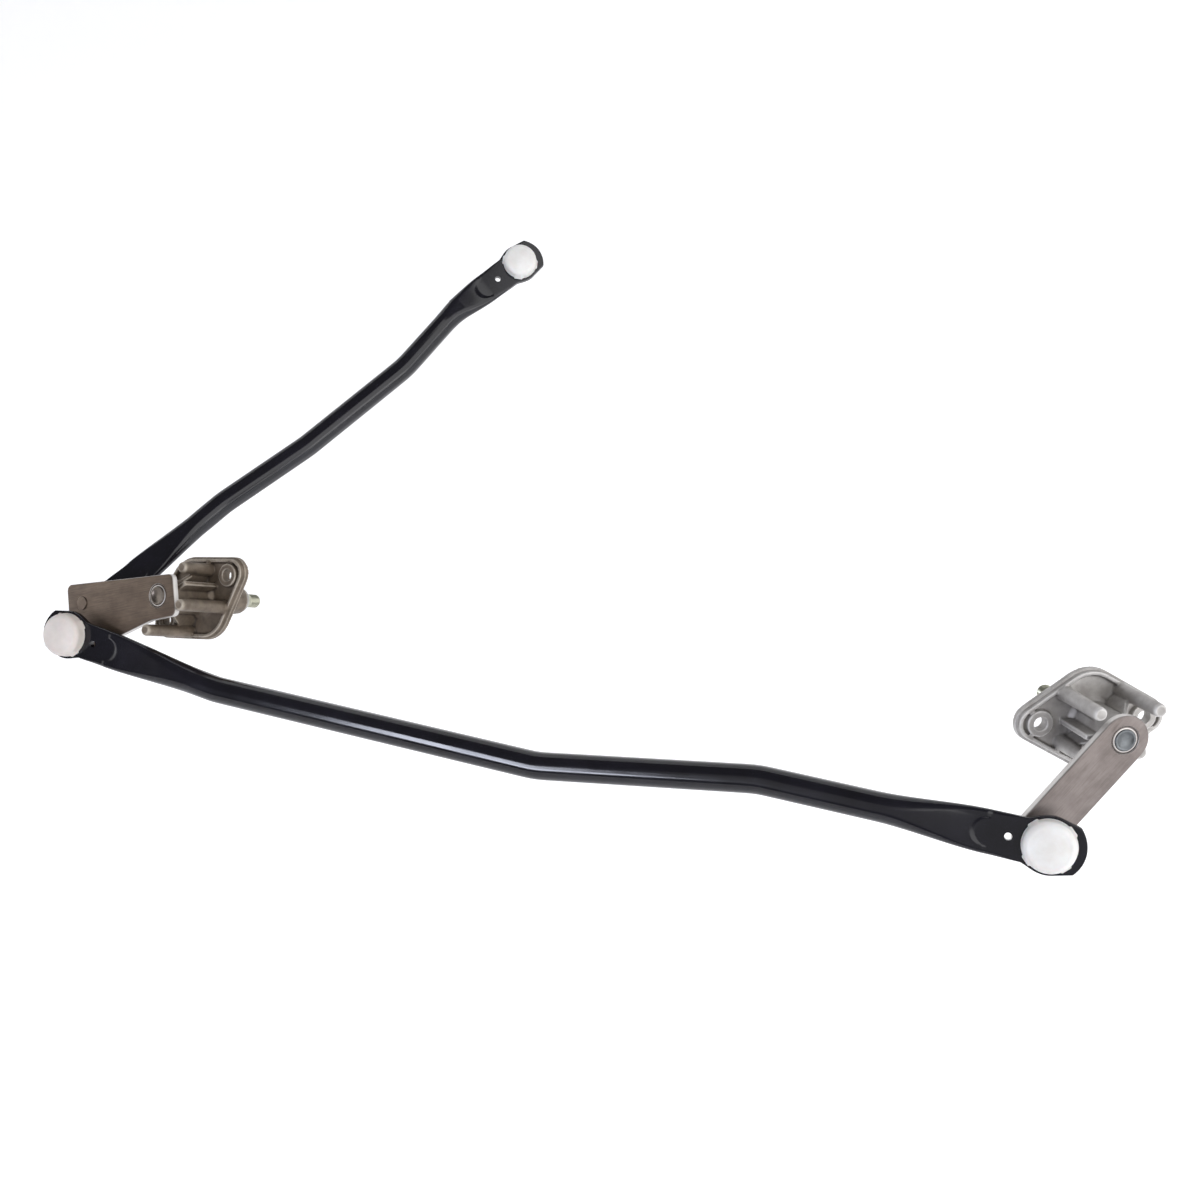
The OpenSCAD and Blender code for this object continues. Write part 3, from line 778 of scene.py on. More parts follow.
@dataclass(frozen=True)
class Rod:
    """A steel tube with both ends pressed flat round a ball socket."""

    name: str
    body: str
    place: Place
    bends: tuple[Pair, ...]
    length: float
    tube_d: float
    open_first: float
    open_last: float
    twist: float = 0.0
    bend_r: float = 60
    first_end: EndSizes = LEVER_END
    last_end: EndSizes = LEVER_END
    fold_share: float = 0.97
    corner_share: float = 0.9
    around: int = 144
    hole_around: int = 64
    step: float = 2.0
    fine_step: float = 0.4
    tip_steps: int = 60
    tip_start: float = 0.04
    least_bend_steps: int = 4
    crease_deg: float = 40

    def corners(self) -> Array:
        """Ball centres and bend corners in the rod's frame."""
        return np.array([(0, 0, 0), *[(x, y, 0) for x, y in self.bends], (self.length, 0, 0)], float)

    def up(self, turned: Array) -> Array:
        """Up directions of the flats after a share of the twist."""
        angle = np.radians(self.twist) * turned
        return np.stack([np.zeros_like(angle), -np.sin(angle), np.cos(angle)], axis=-1)

    def end_place(self, end: RodEnd) -> Place:
        """Frame of a rod end: ball centre at the origin, X along the rod, Z out of the flat.

        Args:
            end: Which end.

        Returns:
            The end's frame in the row frame.
        """
        corners = self.corners()
        if end is RodEnd.FIRST:
            origin, x = corners[0], corners[1] - corners[0]
        else:
            origin, x = corners[-1], corners[-2] - corners[-1]
        x = x / np.linalg.norm(x)
        up = self.up(np.array(float(end.value)))
        z = up - (up @ x) * x
        z = z / np.linalg.norm(z)
        own = np.stack([x, np.cross(z, x), z], axis=-1)
        return Place(self.place.turn @ own, self.place.points(origin))

    def stations(self) -> tuple[Array, Array]:
        """Places and directions along the centre line: straight runs joined by arcs of the bend radius.

        Returns:
            Points and unit directions, from tip to tip.
        """
        corners = self.corners()
        ways = np.diff(corners, axis=0)
        lengths = np.linalg.norm(ways, axis=1)
        ways = ways / lengths[:, None]
        angles = np.arccos(np.clip(np.sum(ways[:-1] * ways[1:], axis=1), -1, 1))
        trims = np.concatenate([[0], self.bend_r * np.tan(angles / 2), [0]])
        points, directions = [], []
        first_steps, last_steps = self.end_steps(self.first_end), self.end_steps(self.last_end)
        for i, (way, length) in enumerate(zip(ways, lengths)):
            start, stop = trims[i], length - trims[i + 1]
            if i == 0:
                along = np.concatenate([first_steps, np.arange(first_steps[-1] + self.step, stop, self.step)])
            elif i == len(ways) - 1:
                plain = np.arange(start, length - last_steps[-1] - self.fine_step, self.step)
                along = np.concatenate([plain, length - last_steps[::-1]])
            else:
                along = np.arange(start, stop, self.step)
            points.append(corners[i] + along[:, None] * way)
            directions.append(np.repeat(way[None], len(along), axis=0))
            if i < len(ways) - 1:
                inward = ways[i + 1] - (ways[i + 1] @ way) * way
                inward = inward / np.linalg.norm(inward)
                steps = max(self.least_bend_steps, int(self.bend_r * angles[i] / self.step))
                a = np.linspace(0, angles[i], steps)[1:-1, None]
                start_point = corners[i + 1] - trims[i + 1] * way
                points.append(start_point + self.bend_r * (np.sin(a) * way + (1 - np.cos(a)) * inward))
                directions.append(np.cos(a) * way + np.sin(a) * inward)
        return np.concatenate(points), np.concatenate(directions)

    def end_steps(self, end: EndSizes) -> Array:
        """Distances along a rod end, crowded towards the tip, where the outline turns fast."""
        round_tip = -end.tip_r * np.cos(np.linspace(self.tip_start, 0.5 * np.pi, self.tip_steps))
        return np.concatenate([round_tip[:-1], np.arange(0, end.flat_l + end.tongue_fade, self.fine_step)])

    def sections(self, first: Array, last: Array) -> tuple[Array, Array, Array]:
        """Half width, half thickness and corner radius of each section.

        The section is a flat bar at the eye, a folded tube at the neck and a circle past the opening length.

        Args:
            first: Distance of each station from the first ball, negative towards the tip.
            last: Distance of each station from the last ball.

        Returns:
            Three arrays, one value per station.
        """
        one, two = self.first_end, self.last_end
        opened = np.minimum(
            smoothstep((first - one.flat_l) / self.open_first),
            smoothstep((last - two.flat_l) / self.open_last),
        )
        at_first = first < last
        near = np.minimum(first, last)
        flat_w = np.where(at_first, one.flat_w, two.flat_w)
        neck = (flat_w + (self.tube_d - flat_w) * opened) / 2
        eye = np.where(at_first, one.half_width(first), two.half_width(last))
        half_w = np.where(near < 0, eye, soft_max(eye, neck, one.eye_fillet))
        half_t = (one.flat_t + (self.tube_d - one.flat_t) * opened) / 2
        folded = smoothstep((near - one.fold_start) / one.fold_start)
        corner = one.edge_r + (self.fold_share * np.minimum(half_t, half_w) - one.edge_r) * folded
        return half_w, half_t, np.minimum(corner, self.corner_share * half_w)

    def rings(self, half_w: Array, half_t: Array, corner: Array) -> Array:
        """Points of each section, spaced evenly round a rectangle with rounded corners.

        One quarter of the outline is a side, a corner arc and half a face; the other quarters mirror it.

        Args:
            half_w: Half widths.
            half_t: Half thicknesses.
            corner: Corner radii.

        Returns:
            Side and height of each point, stations by points by two.
        """
        w, t, r = half_w[:, None], half_t[:, None], corner[:, None]
        face, side, bend = w - r, t - r, 0.5 * np.pi * r
        quarter = face + side + bend
        walk = 4 * quarter * (np.arange(self.around) + 0.5) / self.around
        sector = np.floor(walk / quarter).astype(int)
        local = walk - sector * quarter
        local = np.where(sector % 2 == 0, local, quarter - local)
        angle = np.clip((local - side) / r, 0, 0.5 * np.pi)
        y = face + r * np.cos(angle) - np.clip(local - side - bend, 0, None)
        z = np.minimum(local, side) + r * np.sin(angle)
        left, under = (sector == 1) | (sector == 2), sector > 1
        return np.stack([np.where(left, -y, y), np.where(under, -z, z)], axis=-1)

    def tongue(self, near: Array, ring: Array) -> Array:
        """Height added round the pressed tongue: a lip past its round end, fading as the tube opens.

        Args:
            near: Distance of each station from the nearer ball.
            ring: Section points.

        Returns:
            Height to add away from the flat's middle plane.
        """
        end = self.first_end
        side = np.clip(np.abs(ring[..., 0]), 0, end.tongue_r)
        edge = end.tongue_l - end.tongue_r + np.sqrt(end.tongue_r**2 - side**2)
        past = near[:, None] - edge
        lip = end.tongue_lip * smoothstep(past / end.tongue_slope + 0.5)
        return lip * (1 - smoothstep(past / end.tongue_fade))

    def build(self) -> bpy.types.Object:
        """Sweeps the sections along the centre line and cuts the seats and pilot holes.

        Returns:
            The closed rod.
        """
        points, directions = self.stations()
        corners = self.corners()
        first = np.where(points[:, 0] < 0, -1, 1) * np.linalg.norm(points - corners[0], axis=1)
        past = (points - corners[-1]) @ (corners[-1] - corners[-2]) > 0
        last = np.where(past, -1, 1) * np.linalg.norm(points - corners[-1], axis=1)
        ring = self.rings(*self.sections(first, last))
        lift = self.tongue(np.minimum(first, last), ring)
        height = ring[..., 1] + np.sign(ring[..., 1]) * lift
        round_from = self.first_end.flat_l + self.open_first
        round_to = self.length - self.last_end.flat_l - self.open_last
        up = self.up(np.clip((first - round_from) / (round_to - round_from), 0, 1))
        up = up - np.sum(up * directions, axis=1, keepdims=True) * directions
        up = up / np.linalg.norm(up, axis=1, keepdims=True)
        across = np.cross(up, directions)
        skin = points[:, None] + ring[..., :1] * across[:, None] + height[..., None] * up[:, None]
        poles = self.place.points(np.stack([skin[0].mean(axis=0), skin[-1].mean(axis=0)]))
        rod = closed_skin(f"{self.name}_tube", self.place.points(skin), poles[0], poles[1])
        carve(rod, [cutter for end in RodEnd for cutter in self.hole_cutters(end)])
        shade(rod, self.crease_deg)
        return rod

    def hole_cutters(self, end: RodEnd) -> list[bpy.types.Object]:
        """Turned cutters of a seat and a pilot hole, each with a small chamfer at both faces.

        Args:
            end: Which end.

        Returns:
            Two closed meshes.
        """
        sizes = self.first_end if end is RodEnd.FIRST else self.last_end
        place = self.end_place(end)
        half, reach, ease = sizes.flat_t / 2, sizes.flat_t, sizes.edge_r / 2
        cutters = []
        for x, d in ((0.0, sizes.seat_d), (sizes.pilot_x, sizes.pilot_d)):
            r = d / 2
            profile = np.array([
                (0, -reach), (r + ease + reach - half, -reach), (r, -half + ease),
                (r, half - ease), (r + ease + reach - half, reach), (0, reach),
            ])
            cutters.append(revolve("cutter", profile, place.moved(x, 0, 0), self.hole_around))
        return cutters


@dataclass(frozen=True)
class Socket:
    """A moulded ball socket: domed cap over the rod end, foot flange with tabs, snap lip and open cup."""

    name: str
    body: str
    place: Place
    cap_d: float = 24.4
    cap_h: float = 10
    cap_round: float = 3.4
    crown_h: float = 0.9
    foot_t: float = 1.3
    foot_step: float = 0.15
    tab_reach: float = 0.7
    tab_w: float = 5
    tab_count: int = 4
    seat_z: float = 1.8
    plug_r: float = 10.48
    snap_reach: float = 0.6
    snap_gap: float = 0.02
    cup_r: float = 7.54
    mouth_angle: float = 60.8
    draft: float = 0.25
    ease: float = 0.25
    around: int = 160
    cup_steps: int = 40
    shoulder_steps: int = 16
    crown_steps: int = 24
    gap: float = 0.35
    tab_fade: float = 0.05
    rim_share: float = 1.5
    crease_deg: float = 50

    def profile(self) -> Array:
        """The socket's section: cup, mouth, foot flange, rounded shoulder and a crown that is part of a ball.

        Returns:
            Radius and height from the cup's pole to the crown's.
        """
        cap_r = self.cap_d / 2
        crown_r = cap_r - self.cap_round - self.draft
        shoulder_z = self.cap_h - self.crown_h
        crown_ball = (crown_r**2 + self.crown_h**2) / (2 * self.crown_h)
        crown_edge = math.degrees(math.acos(crown_r / crown_ball))
        mouth_z = -self.cup_r * math.cos(math.radians(self.mouth_angle))
        foot_r = cap_r + self.foot_step
        snap_z = -self.seat_z - self.snap_gap
        cup = arc((0, 0), self.cup_r, 90, self.mouth_angle - 90, self.cup_steps)
        foot = np.array([
            (self.plug_r - self.snap_reach, mouth_z), (self.plug_r + self.snap_reach, snap_z),
            (self.plug_r, snap_z), (self.plug_r, self.seat_z), (foot_r - self.ease, self.seat_z),
            (foot_r, self.seat_z + self.ease), (foot_r, self.seat_z + self.foot_t - self.ease),
            (foot_r - self.ease, self.seat_z + self.foot_t), (cap_r, self.seat_z + self.foot_t),
        ])
        shoulder = arc((crown_r, shoulder_z - self.cap_round), self.cap_round, 0, 90, self.shoulder_steps)
        crown = arc((0, self.cap_h - crown_ball), crown_ball, crown_edge, 90, self.crown_steps)[1:]
        outline = np.concatenate([cup, dense(foot, self.gap), shoulder, crown])
        outline[[0, -1], 0] = 0
        return outline

    def swell(self, profile: Array) -> Array:
        """Factor on the radius: the foot flange steps out to a flat tab at even turns.

        Args:
            profile: Radius and height of the socket.

        Returns:
            Factors, profile points by points round the axis.
        """
        angle = 2 * np.pi * np.arange(self.around) / self.around
        pitch = 2 * np.pi / self.tab_count
        off = (angle % pitch) - pitch / 2
        foot_r = self.cap_d / 2 + self.foot_step
        half = self.tab_w / 2 / foot_r
        window = smoothstep((half - np.abs(off)) / self.tab_fade + 0.5)
        tab_r = (self.cap_d / 2 + self.tab_reach) / np.cos(np.clip(off, -half, half))
        rim = profile[:, 0] > foot_r - self.rim_share * self.ease
        foot = rim & (profile[:, 1] < self.seat_z + self.foot_t + self.ease)
        return 1 + np.where(foot[:, None], window * (tab_r / foot_r - 1), 0)

    def build(self) -> bpy.types.Object:
        """Turns the profile about the socket's axis.

        Returns:
            The closed socket.
        """
        profile = self.profile()
        made = revolve(f"{self.name}_cap", profile, self.place, self.around, self.swell(profile))
        shade(made, self.crease_deg)
        return made


@dataclass(frozen=True)
class Lever:
    """A stamped plate staked on a spindle, with a rolled front edge and riveted ball studs."""

    name: str
    body: str
    place: Place
    centres: tuple[Pair, ...]
    corner_r: float
    studs: tuple[Pair, ...]
    lever_z: float = POSE.lever_z
    lever_t: float = POSE.lever_t
    roll_r: float = 0.75
    burr_r: float = 0.25
    stake_hole_r: float = 5.27
    bead_top_r: float = 5.57
    bead_foot_r: float = 6.45
    ring_r: float = 6.6
    ring_depth: float = 0.5
    ring_bevel: float = 0.3
    ring_draft: float = 0.05
    bead_drop: float = 0.05
    shank_hole_r: float = 4.02
    fillet_r: float = 12
    overshoot: float = 1
    rim_gap: float = 0.01
    bead_gap: float = 0.1
    corner_steps: int = 24
    edge_steps: int = 6
    ring_around: int = 96
    hole_around: int = 64
    crease_deg: float = 40

    def outline(self) -> tuple[Array, Array, Array]:
        """The plate's outline: an arc round each corner centre in turn, joined by straight edges.

        A hollow corner is an arc of the fillet radius round a centre outside the plate, so its radius is
        negative.

        Returns:
            Arc centres, radii and outward unit normals of the outline's points, in the lever's frame.
        """
        centres = np.array(self.centres)
        ways = np.roll(centres, -1, axis=0) - centres
        out = np.arctan2(-ways[:, 0], ways[:, 1])
        start = np.roll(out, 1)
        sweep = (out - start + 0.5 * np.pi) % (2 * np.pi) - 0.5 * np.pi
        hollow = sweep < 0
        middle = start + 0.5 * sweep
        reach = np.where(hollow, (self.corner_r + self.fillet_r) / np.cos(0.5 * sweep), 0)
        centres = centres + reach[:, None] * np.stack([np.cos(middle), np.sin(middle)], axis=-1)
        radii = np.where(hollow, -self.fillet_r, self.corner_r)
        angle = (start[:, None] + sweep[:, None] * np.linspace(0, 1, self.corner_steps)).ravel()
        normals = np.stack([np.cos(angle), np.sin(angle)], axis=-1)
        return np.repeat(centres, self.corner_steps, axis=0), np.repeat(radii, self.corner_steps), normals

    def edge(self) -> Array:
        """The plate's edge: a quarter circle of the burr at the back, one of the rolled radius at the front.

        Returns:
            Inset and height over the back face.
        """
        burr = arc((self.burr_r, self.burr_r), self.burr_r, 270, 180, self.edge_steps)
        roll = arc((self.roll_r, self.lever_t - self.roll_r), self.roll_r, 180, 90, self.edge_steps)
        return np.concatenate([burr, roll])

    def build(self) -> bpy.types.Object:
        """Carries the edge round the outline, fills both faces and cuts the holes and the stake ring.

        Returns:
            The closed plate.
        """
        centres, radii, normals = self.outline()
        edge = self.edge()
        flat = centres + (radii[:, None] - edge[:, None, :1]) * normals
        height = np.broadcast_to(self.lever_z + edge[:, None, 1:], (*flat.shape[:2], 1))
        points = self.place.points(np.concatenate([flat, height], axis=-1))
        index, quads = ring_quads(*points.shape[:2])
        faces = quads.tolist() + [index[0][::-1].tolist(), index[-1].tolist()]
        plate = solid(f"{self.name}_plate", points.reshape(-1, 3), faces)
        carve(plate, self.hole_cutters())
        # Marks the painted highlights on the wall, bead and lip and the painted shade in the stake groove
        measure(plate, Mark.EDGE_LIGHT_AND_SHADE, self.edge_light_and_shade(plate.data))
        shade(plate, self.crease_deg)
        return plate

    def edge_light_and_shade(self, mesh: bpy.types.Mesh) -> Array:
        """Where the finish paints light: a highlight at 1 on the outer wall, the stake bead and the ring's
        lip, shade at -1 in the stake groove.

        It is 0 on the faces. On the wall it falls from 1 to 0 over the burr below and the rolled edge above.

        Args:
            mesh: The finished plate.

        Returns:
            One number per vertex.
        """
        local = (vertices(mesh) - self.place.origin) @ self.place.turn
        up, down = self.lever_z + self.lever_t - local[:, 2], local[:, 2] - self.lever_z
        wall = smoothstep(up / self.roll_r) * smoothstep(down / self.burr_r)
        holes = np.array([(0.0, 0.0), *self.studs])
        off = np.linalg.norm(local[:, None, :2] - holes, axis=2)
        in_hole = (off < self.ring_r + self.ring_bevel + self.rim_gap).any(axis=1)
        staked = off[:, 0]
        in_ring = staked < self.ring_r + self.rim_gap
        past_bead = staked > self.bead_foot_r - self.bead_gap
        # The bead and the ring's lip get a painted highlight, the groove painted shade
        bead = (staked < self.bead_foot_r - self.bead_gap) & (staked > self.stake_hole_r + self.bead_gap)
        lip = (staked > self.ring_r + self.rim_gap) & (up > 0.5 * self.ring_bevel) & in_hole
        groove = in_ring & past_bead & (up > 0.5 * self.ring_depth)
        return np.select([bead | lip, groove, in_hole], [1, -1, 0], wall)

    def hole_cutters(self) -> list[bpy.types.Object]:
        """Turned cutters: the spindle's hole with the stake ring and its bead, and one hole per stud.

        Returns:
            Closed meshes.
        """
        low, top = self.lever_z - self.overshoot, self.lever_z + self.lever_t
        high, bead_z, ring_z = top + self.overshoot, top - self.bead_drop, top - self.ring_depth
        stake = np.array([
            (0, low), (self.stake_hole_r, low), (self.stake_hole_r, bead_z), (self.bead_top_r, bead_z),
            (self.bead_foot_r, ring_z), (self.ring_r, ring_z),
            (self.ring_r + self.ring_draft, top - self.ring_bevel),
            (self.ring_r + self.ring_bevel + self.overshoot, high), (0, high),
        ])
        hole = np.array([(0, low), (self.shank_hole_r, low), (self.shank_hole_r, high), (0, high)])
        cutters = [revolve("cutter", stake, self.place, self.ring_around)]
        for x, y in self.studs:
            cutters.append(revolve("cutter", hole, self.place.moved(x, y, 0), self.hole_around))
        return cutters


@dataclass(frozen=True)
class Spindle:
    """A turned spindle: staked head in the lever, clip groove, taper and threaded arm end.

    The head's dish is given in stake heights: how far in from the rim and how far over the lever's face.
    """

    name: str
    body: str
    place: Place
    shaft_r: float = 5
    stake_r: float = 5.25
    stake_h: float = 0.5
    dish: tuple[Pair, ...] = ((0, 0.5), (0.3, 0.85), (0.8, 1), (2, 1), (2.8, 0.7), (4, 0))
    lever_z: float = POSE.lever_z
    lever_top: float = POSE.lever_top
    thread_r: float = 4
    thread_l: float = 7.5
    thread_pitch: float = 1.25
    thread_depth: float = 0.55
    thread_fade: float = 0.6
    thread_start: float = 0.3
    flank: float = 1.3
    crest: float = 0.15
    taper_l: float = 4.5
    tip_z: float = -43.1
    tip_chamfer: float = 1.2
    groove_r: float = 4.3
    groove_low: float = -29.52
    groove_high: float = -28.48
    tooth_count: int = 40
    tooth_depth: float = 0.28
    tooth_low: float = 0.4
    tooth_reach: float = 1.2
    least_r: float = 0.1
    around: int = 120
    gap: float = 0.16
    crease_deg: float = 40

    def profile(self) -> Array:
        """The spindle's section: chamfered tip, thread, taper, clip groove, shaft, staked end and dish.

        Returns:
            Radius and height from the tip to the head's middle.
        """
        top = self.lever_top
        thread_top = self.tip_z + self.tip_chamfer + self.thread_l
        rough = np.array([
            (0, self.tip_z), (self.thread_r - self.tip_chamfer, self.tip_z),
            (self.thread_r, self.tip_z + self.tip_chamfer), (self.thread_r, thread_top),
            (self.shaft_r, thread_top + self.taper_l), (self.shaft_r, self.groove_low),
            (self.groove_r, self.groove_low), (self.groove_r, self.groove_high),
            (self.shaft_r, self.groove_high), (self.shaft_r, self.lever_z),
            (self.stake_r, self.lever_z), (self.stake_r, top),
        ])
        head = np.array([
            (self.stake_r - inward * self.stake_h, top + rise * self.stake_h) for inward, rise in self.dish
        ])
        return np.concatenate([dense(rough, self.gap), head, [(0, top)]])

    def swell(self, profile: Array) -> Array:
        """Factor on the radius: a helical V thread on the arm end and stake teeth on the head's rim.

        Args:
            profile: Radius and height of the spindle.

        Returns:
            Factors, profile points by points round the axis.
        """
        angle = 2 * np.pi * np.arange(self.around) / self.around
        height = profile[:, 1:]
        phase = (height / self.thread_pitch - angle / (2 * np.pi)) % 1
        start = self.tip_z + self.thread_start * self.tip_chamfer
        stop = self.tip_z + self.tip_chamfer + self.thread_l
        run_in, run_out = (height - start) / self.thread_fade, (stop - height) / self.thread_fade
        threaded = smoothstep(run_in) * smoothstep(run_out)
        groove = np.clip(self.flank * np.abs(2 * phase - 1) - self.crest, 0, 1)
        cut = groove * self.thread_depth * threaded
        over_lever = height > self.lever_top + self.tooth_low * self.stake_h
        rim = over_lever & (profile[:, :1] > self.stake_r - self.tooth_reach * self.stake_h)
        teeth = self.tooth_depth * np.where(rim, 0.5 + 0.5 * np.cos(self.tooth_count * angle), 0)
        radius = np.maximum(profile[:, :1], self.least_r)
        return 1 - np.where(profile[:, :1] > 0, (cut + teeth) / radius, 0)

    def build(self) -> bpy.types.Object:
        """Turns the profile and stores each point's height along the axis.

        Returns:
            The closed spindle.
        """
        profile = self.profile()
        made = revolve(f"{self.name}_turned", profile, self.place, self.around, self.swell(profile))
        along = (vertices(made.data) - self.place.origin) @ self.place.turn[:, 2]
        measure(made, Mark.ALONG, along)
        shade(made, self.crease_deg)
        return made


@dataclass(frozen=True)
class BallStud:
    """A ball stud riveted through a lever: ball, waisted neck, collar and shank."""

    name: str
    body: str
    place: Place
    head_h: float = 0.0
    lever_t: float = POSE.lever_t
    ball_r: float = 7.5
    ball_h: float = POSE.ball_h
    neck_r: float = 3.5
    collar_r: float = 5.5
    collar_t: float = 1.6
    shank_r: float = 4
    ease: float = 0.3
    around: int = 96
    ball_steps: int = 48
    gap: float = 0.8
    crease_deg: float = 40

    def profile(self) -> Array:
        """The stud's section: rivet face, shank, collar, neck and the ball above it.

        Returns:
            Radius and height from the rivet face to the ball's top.
        """
        low = -self.lever_t - self.head_h
        join = math.degrees(math.asin(self.neck_r / self.ball_r))
        stem = np.array([
            (0, low), (self.shank_r - self.ease, low), (self.shank_r, low + self.ease), (self.shank_r, 0.0),
            (self.collar_r, 0.0), (self.collar_r, self.collar_t - self.ease),
            (self.collar_r - self.ease, self.collar_t), (self.neck_r + self.ease, self.collar_t),
            (self.neck_r, self.collar_t + self.ease),
        ])
        ball = arc((0, self.ball_h), self.ball_r, join - 90, 90, self.ball_steps)
        ball[-1, 0] = 0
        return np.concatenate([dense(stem, self.gap), ball])

    def build(self) -> bpy.types.Object:
        """Turns the profile about the stud's axis.

        Returns:
            The closed stud.
        """
        made = revolve(f"{self.name}_turned", self.profile(), self.place, self.around)
        shade(made, self.crease_deg)
        return made


@dataclass(frozen=True)
class Casting:
    """A die-cast pivot: the CAD solid with the soft edges and fillets of a casting."""

    name: str
    body: str
    weld: float = 0.001
    voxel: float = 0.5
    smooth_share: float = 0.5
    smooth_rounds: int = 3
    relief_rounds: int = 10
    relief_depth: float = 0.4
    crease_deg: float = 180

    def build(self) -> bpy.types.Object:
        """Remeshes a copy of the CAD solid, smooths it and measures its hollows and edges.

        Returns:
            The closed casting.
        """
        shell = bmesh.new()
        shell.from_mesh(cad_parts[self.name].data)
        bmesh.ops.remove_doubles(shell, verts=shell.verts, dist=self.weld * MM)
        mesh = bpy.data.meshes.new(f"{self.name}_skin")
        shell.to_mesh(mesh)
        shell.free()
        made = bpy.data.objects.new(f"{self.name}_skin", mesh)
        bpy.context.scene.collection.objects.link(made)
        remesh = made.modifiers.new("skin", "REMESH")
        remesh.mode = "VOXEL"
        remesh.voxel_size = self.voxel * MM
        soften = made.modifiers.new("soften", "SMOOTH")
        soften.factor = self.smooth_share
        soften.iterations = self.smooth_rounds
        settle(made)
        # The relief mark steers the painted shade in the hollows and the painted highlights on the edges
        measure(made, Mark.RELIEF, self.relief(made.data))
        shade(made, self.crease_deg)
        return made

    def relief(self, mesh: bpy.types.Mesh) -> Array:
        """How far each vertex lies under a smoothed copy of the skin: above 0 in hollows, below 0 on edges.

        The smoothed copy moves every vertex to the mean of its neighbours, round after round.

        Args:
            mesh: The casting's skin.

        Returns:
            One number per vertex, from -1 to 1.
        """
        points = vertices(mesh)
        count = len(points)
        ends = np.zeros(len(mesh.edges) * 2, int)
        mesh.edges.foreach_get("vertices", ends)
        a, b = ends.reshape(-1, 2).T
        degree = np.bincount(ends, minlength=count)[:, None]
        smooth = points
        for _ in range(self.relief_rounds):
            near = [
                np.bincount(a, smooth[b, k], count) + np.bincount(b, smooth[a, k], count) for k in range(3)
            ]
            smooth = np.stack(near, axis=-1) / degree
        normals = np.zeros(count * 3)
        mesh.vertex_normals.foreach_get("vector", normals)
        depth = np.sum((smooth - points) * normals.reshape(-1, 3), axis=1)
        return np.clip(depth / self.relief_depth, -1, 1)


@dataclass(frozen=True)
class Lamp:
    """A soft lamp that faces the middle of the object, seen from it at an azimuth and an elevation."""

    name: str
    watts: float
    width: float
    height: float
    azimuth: float
    elevation: float
    distance: float = 1900
    colour: str = "#ffffff"

    def hang(self, middle: Array) -> None:
        """Makes the lamp.

        Args:
            middle: Middle of the object, in metres.
        """
        light = bpy.data.lights.new(self.name, "AREA")
        light.energy = self.watts
        light.shape = "RECTANGLE"
        light.size = self.width * MM
        light.size_y = self.height * MM
        light.color = linear(self.colour)[:3]
        made = bpy.data.objects.new(self.name, light)
        a, e = math.radians(self.azimuth), math.radians(self.elevation)
        back = np.array([math.sin(a) * math.cos(e), -math.cos(a) * math.cos(e), math.sin(e)])
        made.location = middle + back * self.distance * MM
        made.rotation_euler = (math.pi / 2 - e, 0, a)
        made.visible_camera = False
        bpy.context.scene.collection.objects.link(made)


